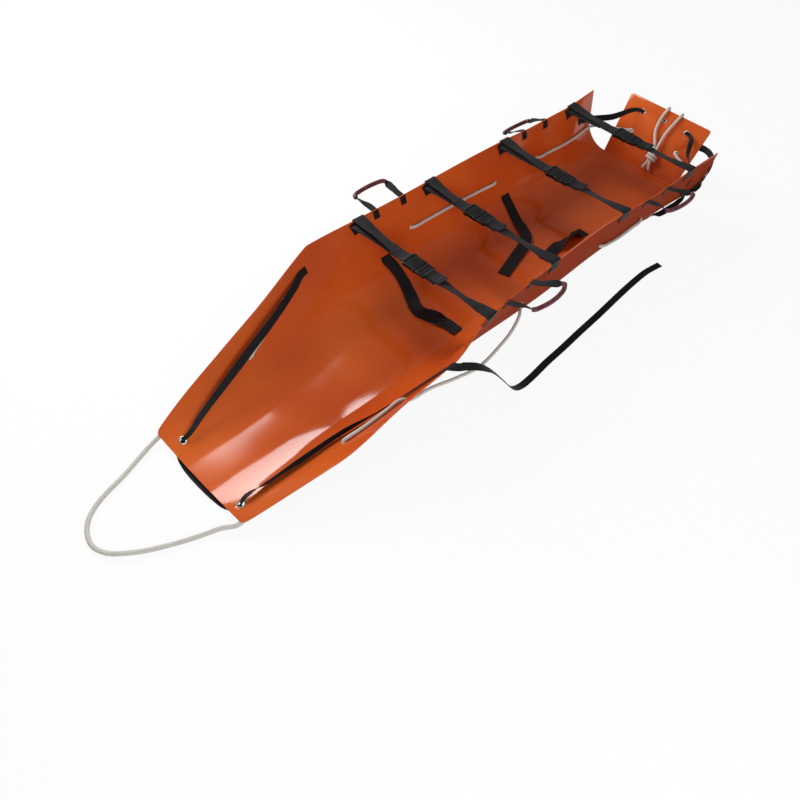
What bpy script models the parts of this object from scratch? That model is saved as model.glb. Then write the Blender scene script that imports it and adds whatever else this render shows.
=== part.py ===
"""Roll-up rescue stretcher in metres, +Z up, with the foot at -X and the head at +X.

One tapered plastic sheet is curled into an open trough. Webbing cross straps pull its long
edges together, a flap closes the head end, and a rope is laced through both walls. Every piece
is first laid out from the middle of the foot edge, and all are moved at the end so that the
origin is the middle of the part's underside.
"""
import math
from collections import namedtuple

import bmesh
import bpy
from mathutils import Matrix, Vector

for leftover in list(bpy.data.objects):
    bpy.data.objects.remove(leftover, do_unlink=True)

# Sheet
SHEET_LENGTH = 2.19
SHEET_HALF_WIDTH = 0.455
FOOT_HALF_WIDTH = 0.213
SHOULDER = 0.71
SHEET = 0.003
TAPER_CELLS = 10
BODY_CELLS = 12
CELLS_ACROSS = 24

# Curl of the sheet at stations along it: half of the flat floor, angle of the wall,
# radius between the two, and height of the floor's middle
Curl = namedtuple("Curl", "at floor wall radius lift")
CURLS = [
    Curl(0.00, 0.050, 0.100, 0.300, 0.012),
    Curl(0.28, 0.058, 0.816, 0.202, 0.000),
    Curl(0.43, 0.066, 0.914, 0.180, 0.000),
    Curl(0.70, 0.090, 0.980, 0.160, 0.022),
    Curl(0.89, 0.095, 1.160, 0.150, 0.030),
    Curl(1.25, 0.110, 1.250, 0.145, 0.030),
    Curl(1.63, 0.090, 1.270, 0.155, 0.012),
    Curl(1.81, 0.093, 1.293, 0.154, 0.000),
    Curl(1.96, 0.099, 1.326, 0.150, 0.000),
    Curl(SHEET_LENGTH, 0.175, 1.450, 0.100, 0.045),
]
SLUMP = 0.26
SLUMP_AT = 0.30
SLUMP_REACH = 0.17
GATHER = 0.175
GATHER_AT = 1.30
GATHER_REACH = 0.35

# Head flap
FLAP_LENGTH = 0.245
FLAP_TOP_HALF_WIDTH = 0.188
FLAP_RISE = math.radians(57.3)
FLAP_CORNER = 0.030
FLAP_GAP = 0.0023
FLAP_SIDE_GAP = 0.0020

# Clearances: between layers, between parts that run or butt, and off the faceted sheet
SEAT = 0.0005
RUN = 0.0004
SHEET_SEAT = 0.0012

# Webbing
WEB = 0.002
STRAP_WIDTH = 0.045
LIGHT_WIDTH = 0.025
INNER_WIDTH = 0.045
BEND = 0.0025

# Cross straps and their buckles
LAST_STRAP_INSET = 0.167
STRAP_AT = [0.898, 1.232, 1.617, SHEET_LENGTH - LAST_STRAP_INSET]
BUCKLE_ACROSS = [0.0, 0.045, 0.0, -0.005]
STRAP_SLOT_DROP = 0.045
STRAP_SAG = 0.008
TAIL_LENGTH = 0.060
CASE_WIDTH = 0.062
CASE_LENGTH = 0.058
CASE_HEIGHT = 0.013
CASE_WAIST = 0.003
MOUTH_WIDTH = 0.046
MOUTH_HEIGHT = 0.008
MOUTH_DEPTH = 0.034
BAR = 0.004
WEBBING_WINDOW = STRAP_WIDTH + 0.003
FRAME_WIDTH = 0.056
FRAME_LENGTH = 0.040
FRAME_HEIGHT = 0.010
FLANGE = 0.006
TONGUE_WIDTH = 0.009
TONGUE_LENGTH = 0.026
PRONG_HEIGHT = 0.006
PRONG_PIVOT = 0.0145

# Handles
HANDLE_AT = [1.045, 1.805]
HANDLE_SPAN = 0.125
HANDLE_REACH = 0.090
HANDLE_SLOT_DROP = 0.032
# Angle of each handle above level, and how far its grip stands towards the head, far side first
HANDLE_LEAN = [(math.radians(6.0), math.radians(13.0)), (math.radians(-30.0), math.radians(11.0))]
HANDLE_SWAY = [(0.0, 0.038), (0.0, 0.009)]
HANDLE_FOOT = 0.012
HANDLE_TURN = 0.016
GRIP_RADIUS = 0.0078
GRIP_END = 0.0010
GRIP_LENGTH = 0.092
GRIP_BORE = 0.0058
GRIP_WEB_SHARE = 0.42

# Rope
ROPE = 0.011
ROPE_HOLE = 0.023
SLACK_GAP = 0.0014
ROPE_STEP = 0.055
ROPE_HOLES = [(0.365, 0.248), (0.560, 0.346), (1.115, 0.330), (1.555, 0.315), (1.805, 0.325)]
ROPE_FOOT = (0.012, 0.203)
ROPE_HEAD_INSET = 0.040
ROPE_HEAD = (SHEET_LENGTH - ROPE_HEAD_INSET, 0.305)

# Grommets
GROMMET_BORE = 0.0100
GROMMET_RIM = 0.0175
GROMMET_SLEEVE = 0.0018
GROMMET_LIP = 0.0014
GROMMET_FACE = 0.0016
FOOT_GROMMETS = [(0.045, 0.139), (0.037, -0.160)]
FLAP_STRAP_HOLES = [(0.199, 0.104), (0.199, -0.104)]
FLAP_ROPE_HOLES = [(0.115, 0.109), (0.115, -0.109)]
FLAP_MIDDLE_HOLE = (0.203, 0.003)

parts = bpy.data.collections.new("rescue_stretcher")
cutters = bpy.data.collections.new("cutters")
bpy.context.scene.collection.children.link(parts)
bpy.context.scene.collection.children.link(cutters)


def finish(name, colour, roughness, metallic=0.0):
    """Return a Principled material."""
    material = bpy.data.materials.new(name)
    material.use_nodes = True
    shader = material.node_tree.nodes["Principled BSDF"]
    shader.inputs["Base Color"].default_value = (*colour, 1.0)
    shader.inputs["Roughness"].default_value = roughness
    shader.inputs["Metallic"].default_value = metallic
    return material


ORANGE = ("orange_plastic", (0.62, 0.085, 0.018), 0.28)
BLACK_WEBBING = ("black_webbing", (0.012, 0.012, 0.014), 0.75)
BLACK_PLASTIC = ("black_plastic", (0.015, 0.015, 0.016), 0.40)
MAROON = ("maroon_grip", (0.10, 0.022, 0.030), 0.45)
ROPE_GREY = ("rope_grey", (0.50, 0.48, 0.44), 0.85)
EYELET = ("eyelet_metal", (0.62, 0.60, 0.55), 0.30, 1.0)


def own(name, mesh, look, parent=None):
    """Add a named object with its own material to the part's collection."""
    thing = bpy.data.objects.new(name, mesh)
    parts.objects.link(thing)
    if mesh.materials:
        thing.material_slots[0].link = "OBJECT"
        thing.material_slots[0].material = finish(f"{name}_{look[0]}", *look[1:])
    else:
        mesh.materials.append(finish(f"{name}_{look[0]}", *look[1:]))
    thing.parent = parent
    return thing


def marker(name, matrix, parent=None):
    """Add an empty that carries the pieces of one moving body."""
    thing = bpy.data.objects.new(name, None)
    thing.empty_display_size = 0.02
    parts.objects.link(thing)
    thing.parent = parent
    thing.matrix_local = matrix
    return thing


def mesh_of(name, build):
    """Close a bmesh into a smooth-shaded mesh with sharp edges kept."""
    mesh = bpy.data.meshes.new(name)
    bmesh.ops.recalc_face_normals(build, faces=build.faces)
    build.to_mesh(mesh)
    build.free()
    mesh.shade_smooth()
    mesh.set_sharp_from_angle(angle=math.radians(35))
    return mesh


def cut(thing, cutter):
    """Take a cutter's shape out of an object."""
    modifier = thing.modifiers.new(cutter.name, "BOOLEAN")
    modifier.operation = "DIFFERENCE"
    modifier.solver = "EXACT"
    modifier.object = cutter


def cutter_from(name, build):
    """Add a hidden cutter object."""
    thing = bpy.data.objects.new(name, mesh_of(name, build))
    thing.hide_render = True
    thing.display_type = "WIRE"
    cutters.objects.link(thing)
    return thing


def box_cutter(name, low, high):
    """Add a block between two corners as a cutter."""
    build = bmesh.new()
    bmesh.ops.create_cube(build, size=1.0)
    low, high = Vector(low), Vector(high)
    size = high - low
    middle = (high + low) / 2
    place = Matrix.Translation(middle) @ Matrix.Diagonal((*size, 1.0))
    bmesh.ops.transform(build, verts=build.verts, matrix=place)
    return cutter_from(name, build)


def baked(thing):
    """Return an object's mesh with its modifiers applied, and remove the object."""
    depsgraph = bpy.context.evaluated_depsgraph_get()
    mesh = bpy.data.meshes.new_from_object(thing.evaluated_get(depsgraph))
    mesh.name = thing.name
    mesh.materials.clear()
    bpy.data.objects.remove(thing)
    return mesh


# The curled sheet, as a surface of distance from the foot edge and distance across

def blended(field, at):
    """Read one value of the curl between its stations, with no overshoot."""
    values = [getattr(curl, field) for curl in CURLS]
    places = [curl.at for curl in CURLS]
    if at <= places[0]:
        return values[0]
    if at >= places[-1]:
        return values[-1]
    last = len(places) - 2
    index = max(i for i in range(last + 1) if places[i] <= at)
    slopes = [(values[i + 1] - values[i]) / (places[i + 1] - places[i]) for i in range(last + 1)]

    def tangent(i):
        if i == 0:
            return slopes[0]
        if i == last + 1:
            return slopes[last]
        before, after = slopes[i - 1], slopes[i]
        return 0.0 if before * after <= 0 else 2 * before * after / (before + after)

    span = places[index + 1] - places[index]
    t = (at - places[index]) / span
    rise = (3 - 2 * t) * t * t
    return (
        values[index] * (1 - rise) + values[index + 1] * rise
        + span * t * (1 - t) ** 2 * tangent(index) - span * t * t * (1 - t) * tangent(index + 1)
    )


def half_width(u):
    """Half of the flat sheet's width at a distance from the foot edge."""
    if u >= SHOULDER:
        return SHEET_HALF_WIDTH
    return FOOT_HALF_WIDTH + (SHEET_HALF_WIDTH - FOOT_HALF_WIDTH) * u / SHOULDER


def curled(u, s):
    """Point of the smooth mid surface, s being positive towards +Y."""
    floor, wall = blended("floor", u), blended("wall", u)
    radius, lift = blended("radius", u), blended("lift", u)
    if s < 0:
        wall -= SLUMP * math.exp(-((u - SLUMP_AT) / SLUMP_REACH) ** 2)
        wall += GATHER * math.exp(-((u - GATHER_AT) / GATHER_REACH) ** 2)
    side = 1 if s >= 0 else -1
    reach = abs(s)
    arc = radius * wall
    if reach <= floor:
        return Vector((u, s, lift))
    if reach <= floor + arc:
        turn = (reach - floor) / radius
        return Vector((u, side * (floor + radius * math.sin(turn)), lift + radius * (1 - math.cos(turn))))
    rest = reach - floor - arc
    across = floor + radius * math.sin(wall) + rest * math.cos(wall)
    return Vector((u, side * across, lift + radius * (1 - math.cos(wall)) + rest * math.sin(wall)))


U_LINES = [SHOULDER * i / TAPER_CELLS for i in range(TAPER_CELLS)]
U_LINES += [SHOULDER + (SHEET_LENGTH - SHOULDER) * i / BODY_CELLS for i in range(BODY_CELLS + 1)]
GRID = [
    [curled(u, (2 * j / CELLS_ACROSS - 1) * half_width(u)) for j in range(CELLS_ACROSS + 1)]
    for u in U_LINES
]


def skin(u, s):
    """Point of the faceted mid surface."""
    column = max([i for i in range(len(U_LINES) - 1) if U_LINES[i] <= u] or [0])
    along = (u - U_LINES[column]) / (U_LINES[column + 1] - U_LINES[column])
    share = (s / half_width(u) + 1) / 2 * CELLS_ACROSS
    row = min(max(int(share), 0), CELLS_ACROSS - 1)
    across = share - row
    near = GRID[column][row].lerp(GRID[column][row + 1], across)
    far = GRID[column + 1][row].lerp(GRID[column + 1][row + 1], across)
    return near.lerp(far, along)


def frame_at(u, s):
    """Unit vectors along the sheet, across it, and square to it towards the inside."""
    step = 0.002
    along = (skin(u + step, s) - skin(u - step, s)).normalized()
    across = (skin(u, s + step) - skin(u, s - step)).normalized()
    normal = along.cross(across).normalized()
    return along, normal.cross(along).normalized(), normal


def laid(u, s, height):
    """Point at a height above the sheet, positive inside the trough."""
    return skin(u, s) + height * frame_at(u, s)[2]


ON_SHEET = SHEET / 2 + WEB / 2 + SHEET_SEAT


def place_on_sheet(u, s, turn=0.0):
    """Matrix at a spot of the sheet, x along it unless turned, z towards the inside."""
    along, across, normal = frame_at(u, s)
    matrix = Matrix((along, across, normal)).transposed().to_4x4()
    matrix.translation = skin(u, s)
    return matrix @ Matrix.Rotation(turn, 4, "Z")


def add_slot(build, matrix, length, width):
    """Add a round-ended slot cutter, or a round one where the two sizes agree."""
    sides = 12 if length == width else 8
    made = bmesh.ops.create_cone(
        build, cap_ends=True, segments=sides, radius1=width / 2, radius2=width / 2, depth=8 * SHEET,
    )["verts"]
    bmesh.ops.rotate(build, verts=made, cent=(0, 0, 0), matrix=Matrix.Rotation(math.pi / sides, 3, "Z"))
    for vert in made:
        vert.co.x += math.copysign((length - width) / 2, vert.co.x)
    bmesh.ops.transform(build, verts=made, matrix=matrix)


def ribbon(name, stations, look, parent=None):
    """Make webbing through stations of point, sideways direction and width.

    A station with no width takes its sideways vector as half of a slanted section.
    """
    build = bmesh.new()
    pair = None
    for index, (point, side, width) in enumerate(stations):
        before = stations[max(index - 1, 0)][0]
        after = stations[min(index + 1, len(stations) - 1)][0]
        heading = (after - before).normalized()
        if width is not None:
            side = (side - heading * side.dot(heading)).normalized() * width / 2
        if pair is None:
            pair = [build.verts.new(point - side), build.verts.new(point + side)]
            edge = build.edges.new(pair)
            continue
        made = bmesh.ops.extrude_edge_only(build, edges=[edge])["geom"]
        fresh = [item for item in made if isinstance(item, bmesh.types.BMVert)]
        if not any(link.other_vert(fresh[0]) == pair[0] for link in fresh[0].link_edges):
            fresh.reverse()
        fresh[0].co, fresh[1].co = point - side, point + side
        pair = fresh
        edge = build.edges.get(pair)
    thing = own(name, mesh_of(name, build), look, parent)
    thickness = thing.modifiers.new("thickness", "SOLIDIFY")
    thickness.thickness = WEB
    thickness.offset = 0
    thickness.use_even_offset = True
    return thing


def tube(name, points, thickness, look, parent=None):
    """Make a rope through its points."""
    curve = bpy.data.curves.new(name, "CURVE")
    curve.dimensions = "3D"
    curve.bevel_depth = thickness / 2
    curve.bevel_resolution = 2
    curve.use_fill_caps = True
    spline = curve.splines.new("POLY")
    spline.points.add(len(points) - 1)
    for slot, point in zip(spline.points, points):
        slot.co = (*point, 1.0)
    return own(name, curve, look, parent)


def smooth_route(points, step):
    """Points at an even step along a smooth curve through the given ones."""
    points = [Vector(point) for point in points]
    spans = [(b - a).length for a, b in zip(points, points[1:])]
    slopes = [(b - a) / span for a, b, span in zip(points, points[1:], spans)]
    bends = [slopes[0]]
    for i in range(1, len(slopes)):
        bends.append((slopes[i - 1] * spans[i] + slopes[i] * spans[i - 1]) / (spans[i] + spans[i - 1]))
    bends.append(slopes[-1])
    fine = []
    pieces = 24
    for i, span in enumerate(spans):
        for k in range(pieces):
            t = k / pieces
            rise = (3 - 2 * t) * t * t
            fine.append(
                points[i].lerp(points[i + 1], rise)
                + span * t * (1 - t) ** 2 * bends[i] - span * t * t * (1 - t) * bends[i + 1]
            )
    fine.append(points[-1])
    lengths = [0.0]
    for a, b in zip(fine, fine[1:]):
        lengths.append(lengths[-1] + (b - a).length)
    count = max(2, round(lengths[-1] / step))
    route, at = [], 0
    for k in range(count + 1):
        want = lengths[-1] * k / count
        while at < len(fine) - 2 and lengths[at + 1] < want:
            at += 1
        share = (want - lengths[at]) / max(lengths[at + 1] - lengths[at], 1e-9)
        route.append(fine[at].lerp(fine[at + 1], min(share, 1.0)))
    return route


def prism(name, outline, low, high, edge=0.0):
    """Make a block from a flat outline in x and y, with softened edges."""
    build = bmesh.new()
    face = build.faces.new([build.verts.new((x, y, low)) for x, y in outline])
    made = bmesh.ops.extrude_face_region(build, geom=[face])["geom"]
    risen = [item for item in made if isinstance(item, bmesh.types.BMVert)]
    bmesh.ops.translate(build, verts=risen, vec=(0, 0, high - low))
    thing = bpy.data.objects.new(name, mesh_of(name, build))
    cutters.objects.link(thing)
    if edge:
        softened = thing.modifiers.new("edges", "BEVEL")
        softened.width = edge
        softened.segments = 1
        softened.limit_method = "ANGLE"
    return thing


def turned(name, profile, steps, look, matrix, parent=None):
    """Make a turned ring from a closed profile of radius and height."""
    build = bmesh.new()
    verts = [build.verts.new((radius, 0.0, height)) for radius, height in profile]
    for a, b in zip(verts, verts[1:] + verts[:1]):
        build.edges.new((a, b))
    mesh = bpy.data.meshes.new(name)
    build.to_mesh(mesh)
    build.free()
    thing = own(name, mesh, look, parent)
    screw = thing.modifiers.new("turn", "SCREW")
    screw.axis = "Z"
    screw.steps = steps
    screw.render_steps = steps
    screw.use_merge_vertices = True
    screw.merge_threshold = 0.00005
    thing.matrix_local = matrix
    return thing


# Hull sheet with its slots and holes

EDGE_ARC = [0.0, 0.33, 0.67, 1.0]
EDGE_LIFT = 0.0015
STRAP_SLOT = SHEET_HALF_WIDTH - STRAP_SLOT_DROP
HANDLE_SLOT = SHEET_HALF_WIDTH - HANDLE_SLOT_DROP
HANDLE_LEGS = [at + side * HANDLE_SPAN / 2 for at in HANDLE_AT for side in (-1, 1)]
SLOT_ABOVE = 0.0022
SLOT_BELOW = 0.0030
PASS_HALF = 0.0020
PASS_SLOT = 0.0064
FOOT_STRAP_SLOT = (0.675, 0.3877)
INNER_STRAP_SLOTS = [(0.975, 0.2843), (1.595, 0.2465), (1.745, -0.072)]
HEAD_STRAP_INSET = 0.100
HEAD_STRAP_ACROSS = 0.360
HEAD_STRAP_SLOTS = [
    (SHEET_LENGTH - HEAD_STRAP_INSET, side * HEAD_STRAP_ACROSS) for side in (1, -1)
]


def make_hull():
    """Curl the sheet, give it its thickness and punch its slots and holes."""
    build = bmesh.new()
    columns = len(U_LINES) - 1
    bmesh.ops.create_grid(build, x_segments=columns, y_segments=CELLS_ACROSS, size=0.5)
    for vert in build.verts:
        column = round((vert.co.x + 0.5) * columns)
        row = round((vert.co.y + 0.5) * CELLS_ACROSS)
        vert.co = GRID[column][row]
    hull = own("hull_sheet", mesh_of("hull_sheet", build), ORANGE)
    thickness = hull.modifiers.new("thickness", "SOLIDIFY")
    thickness.thickness = SHEET
    thickness.offset = 0
    thickness.use_even_offset = True
    punch = bmesh.new()
    slot_width = SLOT_ABOVE + SLOT_BELOW
    for side in (1, -1):
        for legs, slot, width in (
            (STRAP_AT, STRAP_SLOT, STRAP_WIDTH), (HANDLE_LEGS, HANDLE_SLOT, LIGHT_WIDTH),
        ):
            middle = slot + (SLOT_ABOVE - SLOT_BELOW) / 2
            for u in legs:
                add_slot(punch, place_on_sheet(u, side * middle), width + 0.006, slot_width)
        for u, s in ROPE_HOLES:
            add_slot(punch, place_on_sheet(u, side * s), ROPE_HOLE, ROPE_HOLE)
    for u, s in FOOT_GROMMETS:
        hole = 2 * (GROMMET_BORE + GROMMET_SLEEVE + 2 * RUN)
        add_slot(punch, place_on_sheet(u, s), hole, hole)
    across = math.pi / 2
    add_slot(punch, place_on_sheet(*FOOT_STRAP_SLOT, across), LIGHT_WIDTH + 0.006, PASS_SLOT)
    for index, (u, s) in enumerate(INNER_STRAP_SLOTS):
        turn = across if index == 2 else 0.0
        add_slot(punch, place_on_sheet(u, s, turn), INNER_WIDTH + 0.006, PASS_SLOT)
    for u, s in HEAD_STRAP_SLOTS:
        add_slot(punch, place_on_sheet(u, s, across), LIGHT_WIDTH + 0.006, PASS_SLOT)
    cut(hull, cutter_from("hull_punch", punch))


def edge_stations(u, side, width, slot, tab_top):
    """Stations of webbing down the inner face, through its slot and up the outer face."""
    along, across, normal = frame_at(u, side * slot)
    corner = BEND * math.sin(math.pi / 4)
    lag = BEND - corner
    path = [
        (slot + BEND, ON_SHEET), (slot + lag, ON_SHEET - lag), (slot, ON_SHEET - BEND),
        (slot, BEND - ON_SHEET), (slot + lag, lag - ON_SHEET), (slot + BEND, -ON_SHEET),
    ]
    middle = skin(u, side * slot)
    stations = [(laid(u, side * tab_top, ON_SHEET), frame_at(u, side * tab_top)[0], width)]
    for s, height in path:
        point = middle + side * across * (s - slot) + normal * height
        stations.append((point, along, width))
    return stations


def bar_loop(away, bar, drop, tail):
    """Stations of a strap's end round a buckle bar, seen in y and z from the bar."""
    radius = BAR / 2 * math.sqrt(2) + WEB / 2 + RUN
    lower = drop - WEB - SEAT
    path = [(0.013, drop)]
    for step in range(5):
        turn = math.pi / 2 + step * math.pi / 4
        path.append((radius * math.cos(turn), radius * math.sin(turn)))
    path += [(0.013, lower), (tail, lower)]
    return [(bar + Vector((0, away * y, z)), Vector((1, 0, 0)), STRAP_WIDTH) for y, z in path]


def mouth_point(index):
    """Middle of the buckle's mouth plane on a cross strap."""
    u = STRAP_AT[index]
    edge = skin(u, SHEET_HALF_WIDTH)
    return Vector((u, BUCKLE_ACROSS[index], edge.z + ON_SHEET - STRAP_SAG))


CASE_BAR = CASE_LENGTH - BAR / 2
FRAME_BAR = 0.020
STRAP_DROP = -0.0002


def make_strap_half(index, side):
    """Webbing from the slot over the sheet's edge to its buckle half."""
    u = STRAP_AT[index]
    reach = CASE_BAR if side == 1 else -FRAME_BAR
    bar = mouth_point(index) + Vector((0, reach, 0))
    stations = edge_stations(u, side, STRAP_WIDTH, STRAP_SLOT, SHEET_HALF_WIDTH - 0.003)
    along, across, normal = frame_at(u, side * SHEET_HALF_WIDTH)
    edge = skin(u, side * SHEET_HALF_WIDTH)
    loop = bar_loop(side, bar, STRAP_DROP, TAIL_LENGTH)
    pull = loop[0][0] - edge
    last = math.atan2(pull.dot(normal), pull.dot(side * across))
    for share in EDGE_ARC:
        turn = share * last
        offset = side * across * math.sin(turn) - normal * math.cos(turn)
        lift = ON_SHEET + EDGE_LIFT * math.sin(turn)
        stations.append((edge + lift * offset, along, STRAP_WIDTH))
    start = stations[-1][0]
    for share in (0.35, 0.7):
        straight = start.lerp(loop[0][0], share)
        stations.append((straight, along.lerp(Vector((1, 0, 0)), share), STRAP_WIDTH))
    name = "far" if side == 1 else "near"
    ribbon(f"strap_{name}_{index + 1}", stations + loop, BLACK_WEBBING)


def case_mesh():
    """Hollow buckle half: casing, mouth, prong windows and webbing bar."""
    half = CASE_WIDTH / 2
    corner = 0.006
    waist = []
    for step in range(5):
        y = corner + (CASE_LENGTH - 3 * corner) * step / 4
        waist.append((half - CASE_WAIST * math.sin(math.pi * step / 4), y))
    right = [(half - corner, 0.0), *waist, (half, CASE_LENGTH - corner), (half - corner, CASE_LENGTH)]
    outline = right + [(-x, y) for x, y in reversed(right)]
    case = prism("case", outline, -CASE_HEIGHT / 2, CASE_HEIGHT / 2, 0.0015)
    window = WEBBING_WINDOW / 2
    bar_inner = CASE_LENGTH - BAR
    tall = CASE_HEIGHT
    for cutter in (
        box_cutter("mouth", (-MOUTH_WIDTH / 2, -0.01, -MOUTH_HEIGHT / 2),
                   (MOUTH_WIDTH / 2, MOUTH_DEPTH, MOUTH_HEIGHT / 2)),
        box_cutter("prong_windows", (-CASE_WIDTH, 0.012, -MOUTH_HEIGHT / 2),
                   (CASE_WIDTH, 0.028, MOUTH_HEIGHT / 2)),
        box_cutter("webbing_window", (-window, MOUTH_DEPTH + BAR, -tall), (window, bar_inner, tall)),
        box_cutter("bar_top", (-window, bar_inner - 0.001, BAR / 2), (window, CASE_LENGTH + 0.01, tall)),
        box_cutter(
            "bar_below", (-window, bar_inner - 0.001, -tall), (window, CASE_LENGTH + 0.01, -BAR / 2),
        ),
    ):
        cut(case, cutter)
    return baked(case)


def frame_mesh():
    """Buckle half that slides in: flange, guide tongue and ladder frame."""
    half = FRAME_WIDTH / 2
    tongue = TONGUE_WIDTH / 2
    gap = 0.0006
    corner = 0.004
    right = [
        (half - corner, -FRAME_LENGTH), (half, corner - FRAME_LENGTH), (half, -gap - 0.001),
        (half - 0.001, -gap),
        (tongue + 0.002, -gap), (tongue, 0.002), (tongue, TONGUE_LENGTH - 0.002),
        (tongue - 0.002, TONGUE_LENGTH),
    ]
    outline = right + [(-x, y) for x, y in reversed(right)]
    frame = prism("frame", outline, -FRAME_HEIGHT / 2, FRAME_HEIGHT / 2, 0.001)
    window = WEBBING_WINDOW / 2
    middle = FRAME_BAR + BAR / 2
    tall = FRAME_HEIGHT
    outer = FRAME_LENGTH - BAR
    under = STRAP_DROP + WEB / 2 + SEAT
    bar_top = 0.001 - FRAME_BAR + BAR / 2
    tongue_end = TONGUE_LENGTH * 2
    flat = PRONG_HEIGHT / 2
    for cutter in (
        box_cutter("inner_window", (-window, BAR - FRAME_BAR - BAR / 2, -tall), (window, -FLANGE, tall)),
        box_cutter("outer_window", (-window, -outer, -tall), (window, -middle, tall)),
        box_cutter("middle_top", (-window, -middle - 0.001, BAR / 2), (window, bar_top, tall)),
        box_cutter("middle_below", (-window, -middle - 0.001, -tall), (window, bar_top, -BAR / 2)),
        box_cutter("outer_below", (-window, -FRAME_LENGTH - 0.01, -tall), (window, 0.001 - outer, under)),
        box_cutter("tongue_top", (-tongue * 2, -0.0001, flat), (tongue * 2, tongue_end, tall)),
        box_cutter("tongue_below", (-tongue * 2, -0.0001, -tall), (tongue * 2, tongue_end, -flat)),
    ):
        cut(frame, cutter)
    return baked(frame)


def prong_mesh(side):
    """Sprung arm with its barb flush with the casing's inner wall, measured from its root."""
    reach = MOUTH_WIDTH / 2 - RUN - PRONG_PIVOT
    right = [
        (-0.0025, 0.0), (0.0025, 0.0), (0.0040, 0.0170), (reach, 0.0182), (reach, 0.0240),
        (reach - 0.0030, 0.0290), (reach - 0.0060, 0.0290), (-0.0005, 0.0170),
    ]
    outline = [(side * x, y) for x, y in right]
    height = PRONG_HEIGHT / 2 + 0.0004
    return baked(prism("prong", outline, -height, height))


def make_buckles():
    """Four buckles, each a casing, a frame and two prongs."""
    case, frame = case_mesh(), frame_mesh()
    prongs = {"a": prong_mesh(1), "b": prong_mesh(-1)}
    for index in range(len(STRAP_AT)):
        middle = Matrix.Translation(mouth_point(index))
        own(f"buckle_female_{index + 1}", case, BLACK_PLASTIC).matrix_local = middle
        male = own(f"buckle_male_{index + 1}", frame, BLACK_PLASTIC)
        male.matrix_local = middle
        for letter, side in (("a", 1), ("b", -1)):
            prong = own(f"buckle_prong_{index + 1}{letter}", prongs[letter], BLACK_PLASTIC, male)
            prong.location = (side * PRONG_PIVOT, 0.0, 0.0)


# Handles

CURL_OUT = 0.0030
ANCHOR_STOP = 0.0013


def make_anchor(name, u, side):
    """Webbing loop through the sheet that one handle leg hangs on."""
    top = SHEET_HALF_WIDTH - 0.002
    stations = edge_stations(u, side, LIGHT_WIDTH, HANDLE_SLOT, top)
    along, across, normal = frame_at(u, side * SHEET_HALF_WIDTH)
    edge = skin(u, side * SHEET_HALF_WIDTH)
    for turn in (0.0, 0.25, 0.5):
        angle = turn * math.pi
        out = ON_SHEET + CURL_OUT * (1 - math.cos(angle))
        point = edge - normal * out + side * across * (CURL_OUT * math.sin(angle) - CURL_OUT)
        stations.append((point, along, LIGHT_WIDTH))
    stations.append((stations[-1][0] - normal * 0.001, along, LIGHT_WIDTH))
    ribbon(name, stations, BLACK_WEBBING)
    return stations[-1][0] - normal * ANCHOR_STOP


def make_handle(number, side):
    """Grip tube on its webbing, swinging about the sheet's edge."""
    place = "far" if side == 1 else "near"
    name = f"{place}_{number + 1}"
    legs = [HANDLE_AT[number] + way * HANDLE_SPAN / 2 for way in (-1, 1)]
    pivots = [
        make_anchor(f"handle_anchor_{name}{letter}", leg, side) for letter, leg in zip("ab", legs)
    ]
    sideways = (pivots[1] - pivots[0]).normalized() * side
    lean = HANDLE_LEAN[number][0 if side == 1 else 1]
    sway = HANDLE_SWAY[number][0 if side == 1 else 1] * side
    out = Vector((0, side * math.cos(lean), math.sin(lean)))
    out = (out - sideways * out.dot(sideways)).normalized()
    matrix = Matrix((sideways, out, sideways.cross(out))).transposed().to_4x4()
    matrix.translation = (pivots[0] + pivots[1]) / 2
    hinge = marker(f"handle_hinge_{name}", matrix)
    half = (pivots[1] - pivots[0]).length / 2
    turn_radius = HANDLE_TURN
    inner = LIGHT_WIDTH * GRIP_WEB_SHARE
    path = [
        (-half, 0.0, LIGHT_WIDTH), (-half, HANDLE_FOOT, LIGHT_WIDTH),
        (-half, HANDLE_REACH - 2.2 * turn_radius, LIGHT_WIDTH),
    ]
    for step in range(5):
        angle = math.pi - step * math.pi / 8
        path.append((
            turn_radius - half + turn_radius * math.cos(angle),
            HANDLE_REACH - turn_radius + turn_radius * math.sin(angle),
            LIGHT_WIDTH + (inner - LIGHT_WIDTH) * step / 4,
        ))
    path += [(-x, y, width) for x, y, width in reversed(path)]
    climb = HANDLE_REACH - HANDLE_FOOT
    path = [(x + sway * max(0.0, y - HANDLE_FOOT) / climb, y, width) for x, y, width in path]
    stations = []
    for index, (x, y, width) in enumerate(path):
        before, after = path[max(index - 1, 0)], path[min(index + 1, len(path) - 1)]
        side_way = Vector((-(after[1] - before[1]), after[0] - before[0], 0.0))
        stations.append((Vector((x, y, 0.0)), side_way, width))
    ribbon(f"handle_webbing_{name}", stations, BLACK_WEBBING, hinge)
    end = GRIP_END
    long = GRIP_LENGTH / 2
    profile = [
        (GRIP_BORE, long), (GRIP_RADIUS - end, long), (GRIP_RADIUS, long - end),
        (GRIP_RADIUS, end - long), (GRIP_RADIUS - end, -long), (GRIP_BORE, -long),
    ]
    place_grip = Matrix.Translation((sway, HANDLE_REACH, 0)) @ Matrix.Rotation(math.pi / 2, 4, "Y")
    turned(f"handle_grip_{name}", profile, 12, MAROON, place_grip, hinge)


# Grommets and rope

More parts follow.
